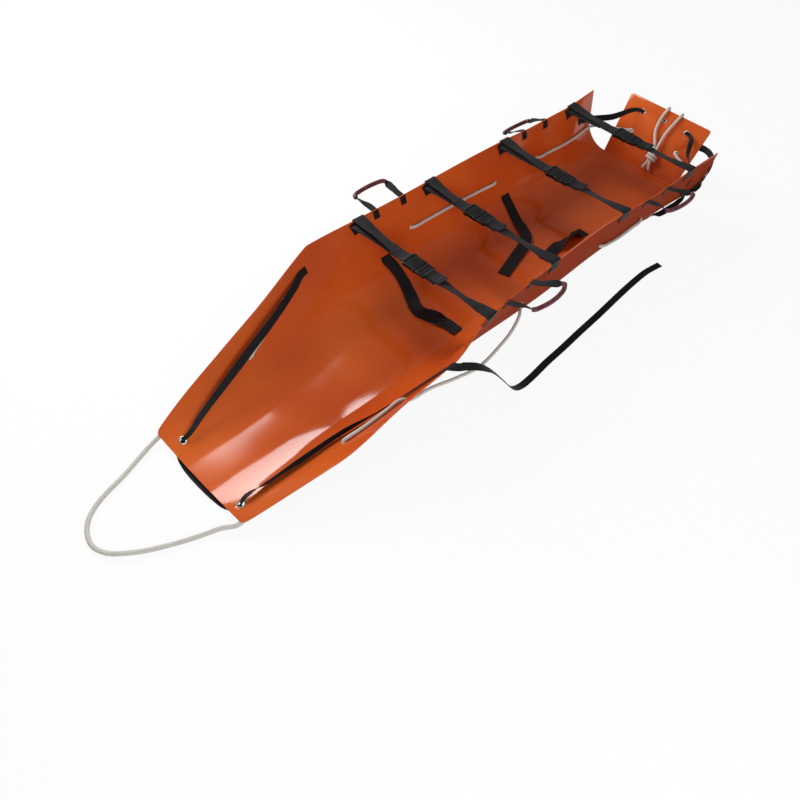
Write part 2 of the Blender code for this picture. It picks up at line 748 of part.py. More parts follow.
def make_grommets():
    """Metal grommets in the foot end, each a sleeve with a lip on either face."""
    face = SHEET / 2 + GROMMET_FACE
    lip = face + GROMMET_LIP
    sleeve = GROMMET_BORE + GROMMET_SLEEVE
    profile = [
        (GROMMET_BORE, lip), (GROMMET_RIM - 0.001, lip), (GROMMET_RIM, lip - 0.0007), (GROMMET_RIM, face),
        (sleeve, face), (sleeve, -face), (GROMMET_RIM, -face), (GROMMET_RIM, 0.0007 - lip),
        (GROMMET_RIM - 0.001, -lip), (GROMMET_BORE, -lip),
    ]
    for name, (u, s) in zip(("foot_grommet_far", "foot_grommet_near"), FOOT_GROMMETS):
        turned(name, profile, 12, EYELET, place_on_sheet(u, s))


ROPE_IN = SHEET / 2 + ROPE / 2 + 0.0009
ROPE_OUT = SHEET / 2 + ROPE / 2 + SLACK_GAP
CROSS_REACH = 0.010


def rope_run(side, start, end, height):
    """Points of rope between two spots along one face of a wall."""
    (u0, s0), (u1, s1) = start, end
    margin = 0.25 * ROPE_STEP
    stops = [u0, *[u for u in U_LINES if u0 + margin < u < u1 - margin], u1]
    points = []
    for u, following in zip(stops, stops[1:]):
        count = math.ceil((following - u) / (2 * ROPE_STEP))
        points += [u + (following - u) * k / count for k in range(count)]
    points.append(u1)
    return [laid(u, side * (s0 + (s1 - s0) * (u - u0) / (u1 - u0)), height) for u in points]


def hole_pass(side, u, s, inwards):
    """Points of rope as it changes face through a hole."""
    sign = 1 if inwards else -1
    points = []
    for share in (-0.5, 0.0, 0.5):
        swing = math.sin(share * math.pi / 2)
        depth = (ROPE_IN + ROPE_OUT) / 2 * swing * sign
        points.append(laid(u + share * CROSS_REACH, side * s, depth))
    return points


def make_side_rope(side, slack):
    """Rope laced out and in along one wall, from the foot corner to the head notch."""
    stops = [ROPE_FOOT, *ROPE_HOLES, ROPE_HEAD]
    points = []
    inside = False
    for index in range(len(stops) - 1):
        (u0, s0), (u1, s1) = stops[index], stops[index + 1]
        lead = CROSS_REACH if index else 0.0
        trail = CROSS_REACH if index < len(stops) - 2 else 0.0
        drift = (s1 - s0) / (u1 - u0)
        start = (u0 + lead, s0 + drift * lead)
        end = (u1 - trail, s1 - drift * trail)
        run = rope_run(side, start, end, ROPE_IN if inside else -ROPE_OUT)
        if slack and index == 2:
            run = [run[0], *smooth_route([run[0], *slack, run[-1]], ROPE_STEP)[1:-1], run[-1]]
        points += run
        if trail:
            points += hole_pass(side, u1, s1, not inside)
            inside = not inside
    name = "far" if side == 1 else "near"
    tube(f"side_rope_{name}", points, ROPE, ROPE_GREY)
    return points


GROUND = -SHEET / 2
ROPE_REST = GROUND + ROPE / 2 + 0.0002
NEAR_SLACK = [
    (0.640, -0.300, 0.165), (0.740, -0.310, 0.145), (0.840, -0.322, 0.122), (0.930, -0.328, 0.105),
    (1.010, -0.316, 0.105), (1.070, -0.290, 0.128),
]
TOW_ROUTE = [
    (-0.045, 0.196, 0.0075), (-0.100, 0.178, ROPE_REST), (-0.157, 0.159, ROPE_REST),
    (-0.215, 0.144, ROPE_REST),
    (-0.258, 0.128, ROPE_REST), (-0.300, 0.100, ROPE_REST), (-0.326, 0.060, ROPE_REST),
    (-0.333, 0.020, ROPE_REST), (-0.318, -0.020, ROPE_REST), (-0.270, -0.065, ROPE_REST),
    (-0.178, -0.119, ROPE_REST), (-0.100, -0.153, ROPE_REST), (-0.045, -0.174, 0.0075),
]


def make_tow_loop(far_rope, near_rope):
    """Free loop of the rope on the ground past the foot."""
    ends = []
    for rope in (far_rope, near_rope):
        away = (rope[0] - rope[1]).normalized()
        ends.append((rope[0] + RUN * away, rope[0] + 0.020 * away))
    (first, first_lead), (last, last_lead) = ends
    route = smooth_route([first_lead, *TOW_ROUTE, last_lead], 0.030)
    tube("tow_rope_loop", [first, *route, last], ROPE, ROPE_GREY)


# Head flap and what rides on it

CREASE = skin(SHEET_LENGTH, 0.0)
FLAP_FRAME = Matrix.Translation(CREASE) @ Matrix.Rotation(-FLAP_RISE, 4, "Y")


def flap_point(a, y, height):
    """World point at a distance up the flap, across it, and off its inner face."""
    return FLAP_FRAME @ Vector((a, y, height))


def make_flap():
    """Head flap with rounded top corners and its five holes."""
    crease = CURLS[-1].floor - FLAP_SIDE_GAP
    top = FLAP_TOP_HALF_WIDTH
    build = bmesh.new()
    side = [(FLAP_GAP, crease)]
    for step in range(4):
        angle = step * math.pi / 6
        side.append((
            FLAP_LENGTH - FLAP_CORNER + FLAP_CORNER * math.sin(angle),
            top - FLAP_CORNER + FLAP_CORNER * math.cos(angle),
        ))
    outline = side + [(a, -y) for a, y in reversed(side)]
    build.faces.new([build.verts.new((a, y, -SHEET / 2)) for a, y in outline])
    thing = own("head_flap", mesh_of("head_flap", build), ORANGE, head_hinge)
    thickness = thing.modifiers.new("thickness", "SOLIDIFY")
    thickness.thickness = SHEET
    thickness.offset = 1 if thing.data.polygons[0].normal.z > 0 else -1
    punch = bmesh.new()
    for a, y in [*FLAP_STRAP_HOLES, *FLAP_ROPE_HOLES]:
        add_slot(punch, FLAP_FRAME @ Matrix.Translation((a, y, 0)), ROPE_HOLE, ROPE_HOLE)
    middle_hole = 0.012
    a, y = FLAP_MIDDLE_HOLE
    add_slot(punch, FLAP_FRAME @ Matrix.Translation((a, y, 0)), middle_hole, middle_hole)
    cut(thing, cutter_from("flap_punch", punch))


STRAP_NECK = 0.015
BACK_LIFT = ROPE_IN + WEB + SEAT


def make_head_strap():
    """Webbing from both walls across the notches and along the back of the flap."""
    up = Vector((1, 0, 0))
    (a, y), _ = FLAP_STRAP_HOLES
    reach = 0.0045
    edge = [(y, reach, STRAP_NECK), (y, ON_SHEET - BEND, STRAP_NECK), (y, BEND - ON_SHEET, STRAP_NECK)]
    edge += [
        (y - 0.0008, 0.0008 - ON_SHEET, STRAP_NECK), (y - BEND, -ON_SHEET, STRAP_NECK),
        (y - 0.030, -ON_SHEET, LIGHT_WIDTH),
    ]
    path = edge + [(-across, height, width) for across, height, width in reversed(edge)]
    stations = [(Vector((a, across, height)), up, width) for across, height, width in path]
    ribbon("head_strap_back", stations, BLACK_WEBBING, head_hinge)
    for side, name in ((1, "far"), (-1, "near")):
        u, s = HEAD_STRAP_SLOTS[0]
        stations = slot_pass(u, side * s, (1.0, 0.0), 0.018)
        exit_point, exit_side, _ = stations[-1]
        gap = reach + RUN
        end = flap_point(a, side * y, gap)
        lead = flap_point(a, side * y, gap + 0.003)
        bow = lead.lerp(exit_point, 0.5) + Vector((0, -side * 0.004, 0))
        flat = FLAP_FRAME.to_3x3() @ up
        stations += [
            (bow, exit_side.lerp(flat, 0.5), LIGHT_WIDTH),
            (lead + Vector((0, side * 0.006, 0)), flat, STRAP_NECK),
            (lead, flat, STRAP_NECK), (end, flat, STRAP_NECK),
        ]
        ribbon(f"head_strap_{name}", stations, BLACK_WEBBING)


def slot_pass(u, s, heading, tab, width=LIGHT_WIDTH):
    """Stations of webbing from an outer tab through a slot to the inside."""
    along, across, normal = frame_at(u, s)
    ahead = along * heading[0] + across * heading[1]
    side = normal.cross(ahead)
    middle = skin(u, s)
    lip = 0.008
    stations = []
    for distance, height in (
        (-tab, -ON_SHEET), (-lip, -ON_SHEET), (-PASS_HALF, -ON_SHEET), (PASS_HALF, ON_SHEET),
        (lip, ON_SHEET),
    ):
        at = laid(u + heading[0] * distance, s + heading[1] * distance, height)
        if abs(distance) <= lip:
            at = middle + ahead * distance + normal * height
        stations.append((at, side, width))
    return stations


def make_flap_rope(wall_ends):
    """Rope across the notches, up behind the flap, over its top and down to a knot."""
    back = -(BACK_LIFT + 0.0015)
    over = ROPE / 2 + SHEET / 2 + 0.0012
    hang = 0.0030 + ROPE_IN
    spread = ROPE / 2 + 0.0005
    top = {1: 0.012, -1: -0.050}
    for side, name in ((1, "far"), (-1, "near")):
        a, y = FLAP_ROPE_HOLES[0]
        y *= side
        foot = KNOT_ACROSS + side * spread
        inner = 0.0075
        front = [(a, y, inner), (a, y, 0.0), (a + 0.004, y, -0.006)]
        climb = smooth_route([
            (a + 0.010, y, back), (a + 0.06, y * 0.75 + top[side] * 0.25, back),
            (FLAP_LENGTH - 0.020, top[side], back), (FLAP_LENGTH, top[side], -over),
        ], 0.030)
        bend = [
            (FLAP_LENGTH + over * math.sin(turn), top[side], -over * math.cos(turn))
            for turn in (math.pi / 4, math.pi / 2, 3 * math.pi / 4)
        ]
        fall = smooth_route([
            (FLAP_LENGTH, top[side], over), (FLAP_LENGTH - 0.020, top[side] * 0.95 + foot * 0.05, hang),
            (0.16, top[side] * 0.5 + foot * 0.5, hang + 0.002), (KNOT_UP + 0.035, foot, KNOT_LIFT),
            (KNOT_UP, foot, KNOT_LIFT), (KNOT_UP - 0.025, foot, KNOT_LIFT),
            (0.012, foot + side * 0.010, hang + 0.004),
        ], 0.026)
        strand = [Vector(point) for point in front] + climb + [Vector(point) for point in bend] + fall
        tube(f"flap_rope_{name}", strand, ROPE, ROPE_GREY, head_hinge)
        start = wall_ends[side]
        finish_at = flap_point(a, y, inner + RUN)
        lead = flap_point(a, y, inner + RUN + 0.010)
        away = (start[-1] - start[-2]).normalized()
        first = start[-1] + away * RUN
        bow = lead + Vector((-0.006, side * 0.008, 0))
        route = smooth_route([first, first + away * 0.018, bow, lead], 0.016)
        tube(f"rope_notch_{name}", [*route, finish_at], ROPE, ROPE_GREY)


KNOT_UP = 0.062
KNOT_ACROSS = -0.033
KNOT_LIFT = ROPE_IN + ROPE + 0.0016
KNOT_TURNS = 1.6
KNOT_PITCH = ROPE + 0.0009


def make_knot():
    """Turns of rope that bind the two strands."""
    wide = 1.5 * ROPE + 0.0026
    deep = ROPE + 0.0016
    count = round(KNOT_TURNS * 15)
    points = []
    for step in range(count + 1):
        share = step / count
        angle = 2 * math.pi * KNOT_TURNS * share + 0.4
        points.append(Vector((
            KNOT_UP - KNOT_TURNS * KNOT_PITCH * (share - 0.5),
            KNOT_ACROSS + wide * math.cos(angle), KNOT_LIFT + deep * math.sin(angle),
        )))
    tube("flap_knot", points, ROPE, ROPE_GREY, head_hinge)


# Light straps

def rise_stations(points, width=LIGHT_WIDTH):
    """Stations of flat webbing through points with an upward direction each."""
    stations = []
    for index, (point, up) in enumerate(points):
        before = points[max(index - 1, 0)][0]
        after = points[min(index + 1, len(points) - 1)][0]
        stations.append((point, up.cross(after - before).normalized(), width))
    return stations


def inner_run(spots, width=INNER_WIDTH):
    """Stations of webbing that lies inside, from spots of u, s, extra height and twist."""
    points = []
    for u, s, extra, twist in spots:
        along, across, normal = frame_at(u, s)
        ahead = Vector(spots[-1][:2]) - Vector(spots[0][:2])
        axis = (along * ahead.x + across * ahead.y).normalized()
        up = Matrix.Rotation(math.radians(twist), 3, axis) @ normal
        points.append((laid(u, s, ON_SHEET + extra), up))
    return rise_stations(points, width)


def make_inner_straps():
    """Loose webbing ends that come in through slots and lie on the sheet."""
    runs = {
        "inner_strap_far_1": (INNER_STRAP_SLOTS[0], (0.0, -1.0), [
            (0.975, 0.235, 0.002, 0), (0.976, 0.180, 0.002, 0), (0.962, 0.125, 0.005, 0),
            (0.945, 0.080, 0.009, 10), (0.932, 0.035, 0.019, 45), (0.930, 0.000, 0.024, 72),
            (0.948, -0.030, 0.019, 45), (0.966, -0.060, 0.007, 0), (0.970, -0.125, 0.002, 0),
        ]),
        "inner_strap_far_2": (INNER_STRAP_SLOTS[1], (0.0, -1.0), [
            (1.595, 0.215, 0.002, 0), (1.592, 0.180, 0.002, 0), (1.580, 0.140, 0.003, 0),
            (1.555, 0.085, 0.008, 0), (1.525, 0.045, 0.011, 10), (1.485, 0.018, 0.008, 0),
            (1.430, 0.000, 0.005, 0), (1.365, -0.020, 0.003, 0), (1.300, -0.040, 0.002, 0),
        ]),
        "inner_strap_near": (INNER_STRAP_SLOTS[2], (-1.0, 0.0), [
            (1.705, -0.072, 0.004, 0), (1.660, -0.072, 0.020, 45), (1.620, -0.070, 0.020, 45),
            (1.575, -0.068, 0.006, 0), (1.530, -0.074, 0.002, 0), (1.480, -0.080, 0.001, 0),
        ]),
    }
    for name, ((u, s), heading, spots) in runs.items():
        start = slot_pass(u, s, heading, 0.018, INNER_WIDTH)
        ribbon(name, start + inner_run(spots), BLACK_WEBBING)


EDGE_SLANT = 0.93


def make_foot_strap():
    """Webbing through both foot grommets, up each wall and over the near edge."""
    (far_u, far_s), (near_u, near_s) = FOOT_GROMMETS
    u, s = FOOT_STRAP_SLOT
    stations = slot_pass(u, s, (-1.0, 0.0), 0.018)
    leave = stations[-1][0]
    neck = 0.015
    under = -(SHEET / 2 + GROMMET_LIP + GROMMET_FACE + WEB / 2 + 0.0012)
    above = -under + 0.001
    along, across, _ = frame_at(far_u, far_s)
    side_far = 0.25 * along - 0.97 * across
    along, across, _ = frame_at(near_u, near_s)
    side_near = 0.25 * along + 0.97 * across
    far_top = laid(far_u + 0.010, far_s, above + 0.003)
    near_top = laid(near_u + 0.010, near_s, above + 0.003)
    chord = far_top - leave
    climb_side = stations[-1][1]
    away = frame_at(u, s)[2]
    stations += [
        (leave + chord * 0.10 + away * 0.010, climb_side, LIGHT_WIDTH),
        (leave + chord * 0.22 + away * 0.020, climb_side, LIGHT_WIDTH),
        (leave + chord * 0.55 + away * 0.012, climb_side.lerp(side_far, 0.5), LIGHT_WIDTH),
        (leave + chord * 0.88, side_far, 0.020), (far_top, side_far, neck),
        (laid(far_u + 0.0035, far_s, above), side_far, neck),
        (laid(far_u, far_s, above - 0.004), side_far, neck),
        (laid(far_u, far_s, under + 0.004), side_far, neck),
        (laid(far_u - 0.004, far_s - 0.001, under), side_far, neck),
    ]
    low = GROUND + WEB / 2 + 0.0030
    flat = Vector((0, 0, 1))
    sweep = [
        (laid(far_u - 0.022, far_s - 0.012, under - 0.001), flat), (Vector((0.004, 0.108, 0.0095)), flat),
        (Vector((-0.008, 0.075, low + 0.001)), flat), (Vector((-0.014, 0.030, low)), flat),
        (Vector((-0.014, -0.030, low)), flat), (Vector((-0.010, -0.085, low + 0.001)), flat),
        (Vector((0.000, -0.125, 0.0095)), flat),
        (laid(near_u - 0.020, near_s + 0.012, under - 0.001), flat),
    ]
    stations += rise_stations(sweep, 0.020)
    stations += [
        (laid(near_u - 0.004, near_s + 0.001, under), side_near, neck),
        (laid(near_u, near_s, under + 0.004), side_near, neck),
        (laid(near_u, near_s, above - 0.004), side_near, neck),
        (laid(near_u + 0.0035, near_s, above), side_near, neck), (near_top, side_near, neck),
    ]
    over_u = TAIL_AT
    edge = skin(over_u, -half_width(over_u))
    normal = frame_at(over_u, -half_width(over_u))[2]
    step = 0.002
    rim = skin(over_u + step, -half_width(over_u + step)) - skin(over_u - step, -half_width(over_u - step))
    rim.normalize()
    outward = rim.cross(normal)
    rise = [
        (laid(0.140, -0.172, 0.012), 40.0), (laid(0.260, -0.190, 0.014), 75.0),
        (laid(0.395, -0.214, 0.014), 30.0),
        (laid(0.500, -0.270, 0.010), 0.0), (laid(0.600, -0.340, 0.006), 0.0),
        (laid(0.660, -0.400, 0.004), 0.0),
    ]
    climb = []
    twist_axis = Vector((1, -0.4, 0.3)).normalized()
    for point, twist in rise:
        climb.append((point, Matrix.Rotation(math.radians(twist), 3, twist_axis) @ normal))
    stations += rise_stations(climb)
    drift = rim * EDGE_SLANT
    section = rim * LIGHT_WIDTH / 2 * math.hypot(1.0, EDGE_SLANT)
    radius = ON_SHEET + EDGE_LIFT
    stations.append((edge + normal * ON_SHEET - (outward + drift) * 0.004, section, None))
    for share in (0.3, 0.65, 1.0):
        swept = share * math.pi * 0.62
        turn = math.pi / 2 - swept
        offset = outward * math.cos(turn) + normal * math.sin(turn)
        stations.append((edge + radius * offset + drift * radius * swept, section, None))
    ribbon("foot_strap", stations, BLACK_WEBBING)
    return stations[-1][0], (stations[-1][0] - stations[-2][0]).normalized(), section


TAIL_AT = 0.680
TAIL_ROUTE = [
    (0.745, -0.376, 0.250), (0.792, -0.394, 0.214), (0.832, -0.404, 0.162), (0.870, -0.412, 0.105),
    (0.910, -0.418, 0.050), (0.958, -0.414, 0.016), (1.030, -0.407, GROUND + WEB),
    (1.110, -0.400, GROUND + WEB),
    (1.200, -0.396, GROUND + WEB), (1.310, -0.389, GROUND + WEB), (1.426, -0.383, GROUND + WEB),
    (1.540, -0.375, GROUND + WEB), (1.652, -0.369, GROUND + WEB), (1.740, -0.369, GROUND + WEB),
    (1.810, -0.380, GROUND + WEB),
]


def make_tail(start, away, section):
    """Free end of the foot strap, from the near edge down to the ground and along it."""
    first = start + away * RUN
    route = [first, *smooth_route([first + away * 0.008, *TAIL_ROUTE], 0.034)]
    stations = []
    for index, point in enumerate(route):
        before, after = route[max(index - 1, 0)], route[min(index + 1, len(route) - 1)]
        heading = (after - before).normalized()
        level = heading.cross(Vector((0, 0, 1))).normalized() * -1
        if index < 2:
            stations.append((point, section, None))
        else:
            stations.append((point, section.normalized().lerp(level, min(1.0, index / 5)), LIGHT_WIDTH))
    ribbon("foot_strap_tail", stations, BLACK_WEBBING)


make_hull()
for strap_index in range(len(STRAP_AT)):
    for strap_side in (1, -1):
        make_strap_half(strap_index, strap_side)
make_buckles()
for handle_number in range(len(HANDLE_AT)):
    for handle_side in (1, -1):
        make_handle(handle_number, handle_side)
make_grommets()
head_hinge = marker("head_crease", FLAP_FRAME)
make_flap()
far_rope = make_side_rope(1, [])
near_rope = make_side_rope(-1, [Vector(point) for point in NEAR_SLACK])
make_tow_loop(far_rope, near_rope)
make_flap_rope({1: far_rope, -1: near_rope})
make_knot()
make_head_strap()
make_inner_straps()
make_tail(*make_foot_strap())

# The origin goes to the middle of the underside, measured without the free ends
FREE_ENDS = ("tow_rope_loop", "foot_strap_tail")
bpy.context.view_layer.update()
depsgraph = bpy.context.evaluated_depsgraph_get()
spots = []
for part in parts.objects:
    if part.type == "EMPTY" or part.name in FREE_ENDS:
        continue
    shown = part.evaluated_get(depsgraph)
    spots += [shown.matrix_world @ vert.co for vert in shown.to_mesh().vertices]
    shown.to_mesh_clear()
low = Vector([min(spot[axis] for spot in spots) for axis in range(3)])
high = Vector([max(spot[axis] for spot in spots) for axis in range(3)])
shift = Vector(((low.x + high.x) / -2, (low.y + high.y) / -2, -low.z))
print("origin moved by", [round(value, 5) for value in shift])
for thing in [*parts.objects, *cutters.objects]:
    if thing.parent is None:
        thing.location += shift
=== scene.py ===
"""Roll-up rescue stretcher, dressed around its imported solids.

A curled plastic sheet carries webbing, buckles, handles, rope and eyelets. Every piece is laid
out from the middle of the foot edge, with x along the sheet towards the head and y across it
towards the far side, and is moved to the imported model's place as its mesh is made.
"""

import logging
import math
from collections.abc import Callable, Sequence
from dataclasses import dataclass, field
from enum import Enum
from functools import lru_cache
from typing import TypeVar

import bmesh
import bpy
from mathutils import Matrix, Vector


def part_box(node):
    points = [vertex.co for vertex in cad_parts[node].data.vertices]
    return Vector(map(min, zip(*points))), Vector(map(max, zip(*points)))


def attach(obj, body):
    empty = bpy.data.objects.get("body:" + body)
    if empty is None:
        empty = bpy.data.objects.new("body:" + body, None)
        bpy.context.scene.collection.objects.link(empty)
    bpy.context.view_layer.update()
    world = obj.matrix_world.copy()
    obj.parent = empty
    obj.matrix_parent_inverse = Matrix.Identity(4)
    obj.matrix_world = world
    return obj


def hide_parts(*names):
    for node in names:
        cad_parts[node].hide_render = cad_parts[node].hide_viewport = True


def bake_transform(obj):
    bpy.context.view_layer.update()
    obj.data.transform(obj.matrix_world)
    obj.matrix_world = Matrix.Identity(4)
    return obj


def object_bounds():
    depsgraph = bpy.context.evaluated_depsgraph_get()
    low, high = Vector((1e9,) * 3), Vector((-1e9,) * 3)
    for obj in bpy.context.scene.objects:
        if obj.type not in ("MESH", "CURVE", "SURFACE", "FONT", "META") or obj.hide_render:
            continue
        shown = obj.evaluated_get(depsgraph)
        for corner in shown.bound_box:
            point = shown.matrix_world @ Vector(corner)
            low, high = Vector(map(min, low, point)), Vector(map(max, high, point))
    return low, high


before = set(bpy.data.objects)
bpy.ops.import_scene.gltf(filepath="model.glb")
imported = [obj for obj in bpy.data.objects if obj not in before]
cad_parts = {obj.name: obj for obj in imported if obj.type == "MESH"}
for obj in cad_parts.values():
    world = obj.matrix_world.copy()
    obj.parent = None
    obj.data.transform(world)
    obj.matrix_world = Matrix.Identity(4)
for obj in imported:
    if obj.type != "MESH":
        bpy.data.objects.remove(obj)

CAD_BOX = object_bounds()
LOG = logging.getLogger("stretcher")
UP = Vector((0.0, 0.0, 1.0))
Point = tuple[float, float, float]
Spot = tuple[float, float]
Build = bmesh.types.BMesh
Material = bpy.types.Material
Piece = bpy.types.Object
Socket = bpy.types.NodeSocket
Value = TypeVar("Value", float, Vector)


# The curled sheet as a surface


class Side(Enum):
    """A long side of the sheet, as the photo shows it."""

    FAR = 1
    NEAR = -1

    @property
    def word(self) -> str:
        """Name used in the names of pieces."""
        return self.name.lower()


@dataclass(frozen=True)
class Curl:
    """Cross section of the curl at one place along the sheet."""

    at: float
    floor: float
    wall: float
    radius: float
    lift: float


CURLS = (
    Curl(0.00, 0.050, 0.100, 0.300, 0.012),
    Curl(0.28, 0.058, 0.816, 0.202, 0.000),
    Curl(0.43, 0.066, 0.914, 0.180, 0.000),
    Curl(0.70, 0.090, 0.980, 0.160, 0.022),
    Curl(0.89, 0.095, 1.160, 0.150, 0.030),
    Curl(1.25, 0.110, 1.250, 0.145, 0.030),
    Curl(1.63, 0.090, 1.270, 0.155, 0.012),
    Curl(1.81, 0.093, 1.293, 0.154, 0.000),
    Curl(1.96, 0.099, 1.326, 0.150, 0.000),
    Curl(2.19, 0.175, 1.450, 0.100, 0.045),
)


def eased(first: Value, last: Value, leave: Value, arrive: Value, span: float, share: float) -> Value:
    """Value at a share of a smooth step between two values with given slopes."""
    rise = (3 - 2 * share) * share * share
    return (
        first * (1 - rise) + last * rise
        + span * share * (1 - share) ** 2 * leave - span * share * share * (1 - share) * arrive
    )


def frame_of(axes: Sequence[Vector], origin: Vector) -> Matrix:
    """Matrix with the given axes as its columns, at a place."""
    matrix = Matrix(axes).transposed().to_4x4()
    matrix.translation = origin
    return matrix


@lru_cache(maxsize=None)
def curl_at(at: float) -> Curl:
    """Blend the curl between its stations, with no overshoot.

    Args:
        at: Distance from the foot edge along the sheet.

    Returns:
        The cross section there.
    """
    inner = min(max(at, CURLS[0].at), CURLS[-1].at)
    index = max(i for i in range(len(CURLS) - 1) if CURLS[i].at <= inner)
    span = CURLS[index + 1].at - CURLS[index].at
    share = (inner - CURLS[index].at) / span

    def read(name: str) -> float:
        """Value of one measure there, by its name."""
        values = [getattr(curl, name) for curl in CURLS]
        slopes = [(values[i + 1] - values[i]) / (CURLS[i + 1].at - CURLS[i].at) for i in range(len(CURLS) - 1)]
        tangents = [slopes[0]]
        for before, after in zip(slopes, slopes[1:]):
            tangents.append(0.0 if before * after <= 0 else 2 * before * after / (before + after))
        tangents.append(slopes[-1])
        return eased(*values[index:index + 2], *tangents[index:index + 2], span, share)

    return Curl(at, read("floor"), read("wall"), read("radius"), read("lift"))


@dataclass(frozen=True)
class SheetForm:
    """Sizes of the flat sheet and the surface that it is curled into."""

    length: float = 2.19
    body_half: float = 0.455
    foot_half: float = 0.213
    shoulder: float = 0.71
    thickness: float = 0.003
    rim: float = 0.0006
    slump: float = 0.26
    slump_at: float = 0.30
    slump_reach: float = 0.17
    gather: float = 0.175
    gather_at: float = 1.30
    gather_reach: float = 0.35

    def half_width(self, u: float) -> float:
        """Half of the flat sheet's width at a distance from the foot edge."""
        if u >= self.shoulder:
            return self.body_half
        return self.foot_half + (self.body_half - self.foot_half) * u / self.shoulder

    def point(self, u: float, s: float) -> Vector:
        """Point of the mid surface.

        Args:
            u: Distance from the foot edge.
            s: Distance across from the middle, positive on the far side.

        Returns:
            The point in the layout frame.
        """
        curl = curl_at(round(u, 6))
        wall = curl.wall
        if s < 0:
            wall -= self.slump * math.exp(-((u - self.slump_at) / self.slump_reach) ** 2)
            wall += self.gather * math.exp(-((u - self.gather_at) / self.gather_reach) ** 2)
        side = 1 if s >= 0 else -1
        reach = abs(s)
        arc = curl.radius * wall
        if reach <= curl.floor:
            return Vector((u, s, curl.lift))
        if reach <= curl.floor + arc:
            turn = (reach - curl.floor) / curl.radius
            across = curl.floor + curl.radius * math.sin(turn)
            return Vector((u, side * across, curl.lift + curl.radius * (1 - math.cos(turn))))
        rest = reach - curl.floor - arc
        across = curl.floor + curl.radius * math.sin(wall) + rest * math.cos(wall)
        rise = curl.radius * (1 - math.cos(wall)) + rest * math.sin(wall)
        return Vector((u, side * across, curl.lift + rise))

    def axes(self, u: float, s: float) -> tuple[Vector, Vector, Vector]:
        """Unit vectors along the sheet, across it, and square to it towards the inside."""
        step = 0.002
        along = (self.point(u + step, s) - self.point(u - step, s)).normalized()
        across = (self.point(u, s + step) - self.point(u, s - step)).normalized()
        normal = along.cross(across).normalized()
        return along, normal.cross(along).normalized(), normal

    def laid(self, u: float, s: float, height: float) -> Vector:
        """Point at a height off the sheet, positive inside the trough."""
        return self.point(u, s) + height * self.axes(u, s)[2]

    def place(self, u: float, s: float, turn: float = 0.0) -> Matrix:
        """Matrix at a spot, x along the sheet unless turned and z towards the inside."""
        return frame_of(self.axes(u, s), self.point(u, s)) @ Matrix.Rotation(turn, 4, "Z")


FORM = SheetForm()


@dataclass(frozen=True)
class Layout:
    """Places of the slots, holes and fittings, and the sizes that several pieces share."""

    web: float = 0.002
    seat: float = 0.0004
    run: float = 0.0004
    bend: float = 0.0025
    strap_width: float = 0.045
    light_width: float = 0.025
    inner_width: float = 0.045
    strap_at: tuple[float, ...] = (0.898, 1.232, 1.617, 2.023)
    strap_slot: float = 0.455 - 0.045
    handle_at: tuple[float, ...] = (1.045, 1.805)
    handle_span: float = 0.125
    handle_slot: float = 0.455 - 0.032
    rope: float = 0.011
    wall_hole: float = 0.0135
    flap_hole: float = 0.0160
    foot_hole: float = 0.0252
    middle_hole: float = 0.0120
    rope_holes: tuple[Spot, ...] = (
        (0.365, 0.248), (0.560, 0.346), (1.115, 0.330), (1.555, 0.315), (1.805, 0.325),
    )
    foot_grommets: tuple[Spot, ...] = ((0.045, 0.139), (0.037, -0.160))
    foot_strap_slot: Spot = (0.675, 0.3877)
    inner_strap_slots: tuple[Spot, ...] = ((0.975, 0.2843), (1.595, 0.2465), (1.745, -0.072))
    head_strap_slot: Spot = (2.090, 0.360)
    flap_rise: float = math.radians(57.3)
    flap_length: float = 0.245
    flap_strap_hole: Spot = (0.199, 0.104)
    flap_rope_hole: Spot = (0.115, 0.109)
    flap_middle_hole: Spot = (0.203, 0.003)

    @property
    def on_sheet(self) -> float:
        """Height of webbing's middle that lies on the sheet."""
        return FORM.thickness / 2 + self.web / 2 + self.seat

    @property
    def rope_in(self) -> float:
        """Height of rope's middle that lies on the inner face."""
        return FORM.thickness / 2 + self.rope / 2 + 0.0006

    @property
    def rope_out(self) -> float:
        """Depth of rope's middle that hangs on the outer face."""
        return FORM.thickness / 2 + self.rope / 2 + 0.0010


LAY = Layout()


def packed_shift() -> Vector:
    """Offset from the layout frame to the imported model, read from the first buckle's casing.

    Returns:
        The offset in metres.
    """
    low, high = (Vector(corner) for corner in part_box("buckle_female_1"))
    sheet_low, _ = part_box("hull_sheet")
    return Vector(((low.x + high.x) / 2 - LAY.strap_at[0], low.y, FORM.thickness / 2 + sheet_low[2]))


SHIFT = packed_shift()


# Node materials


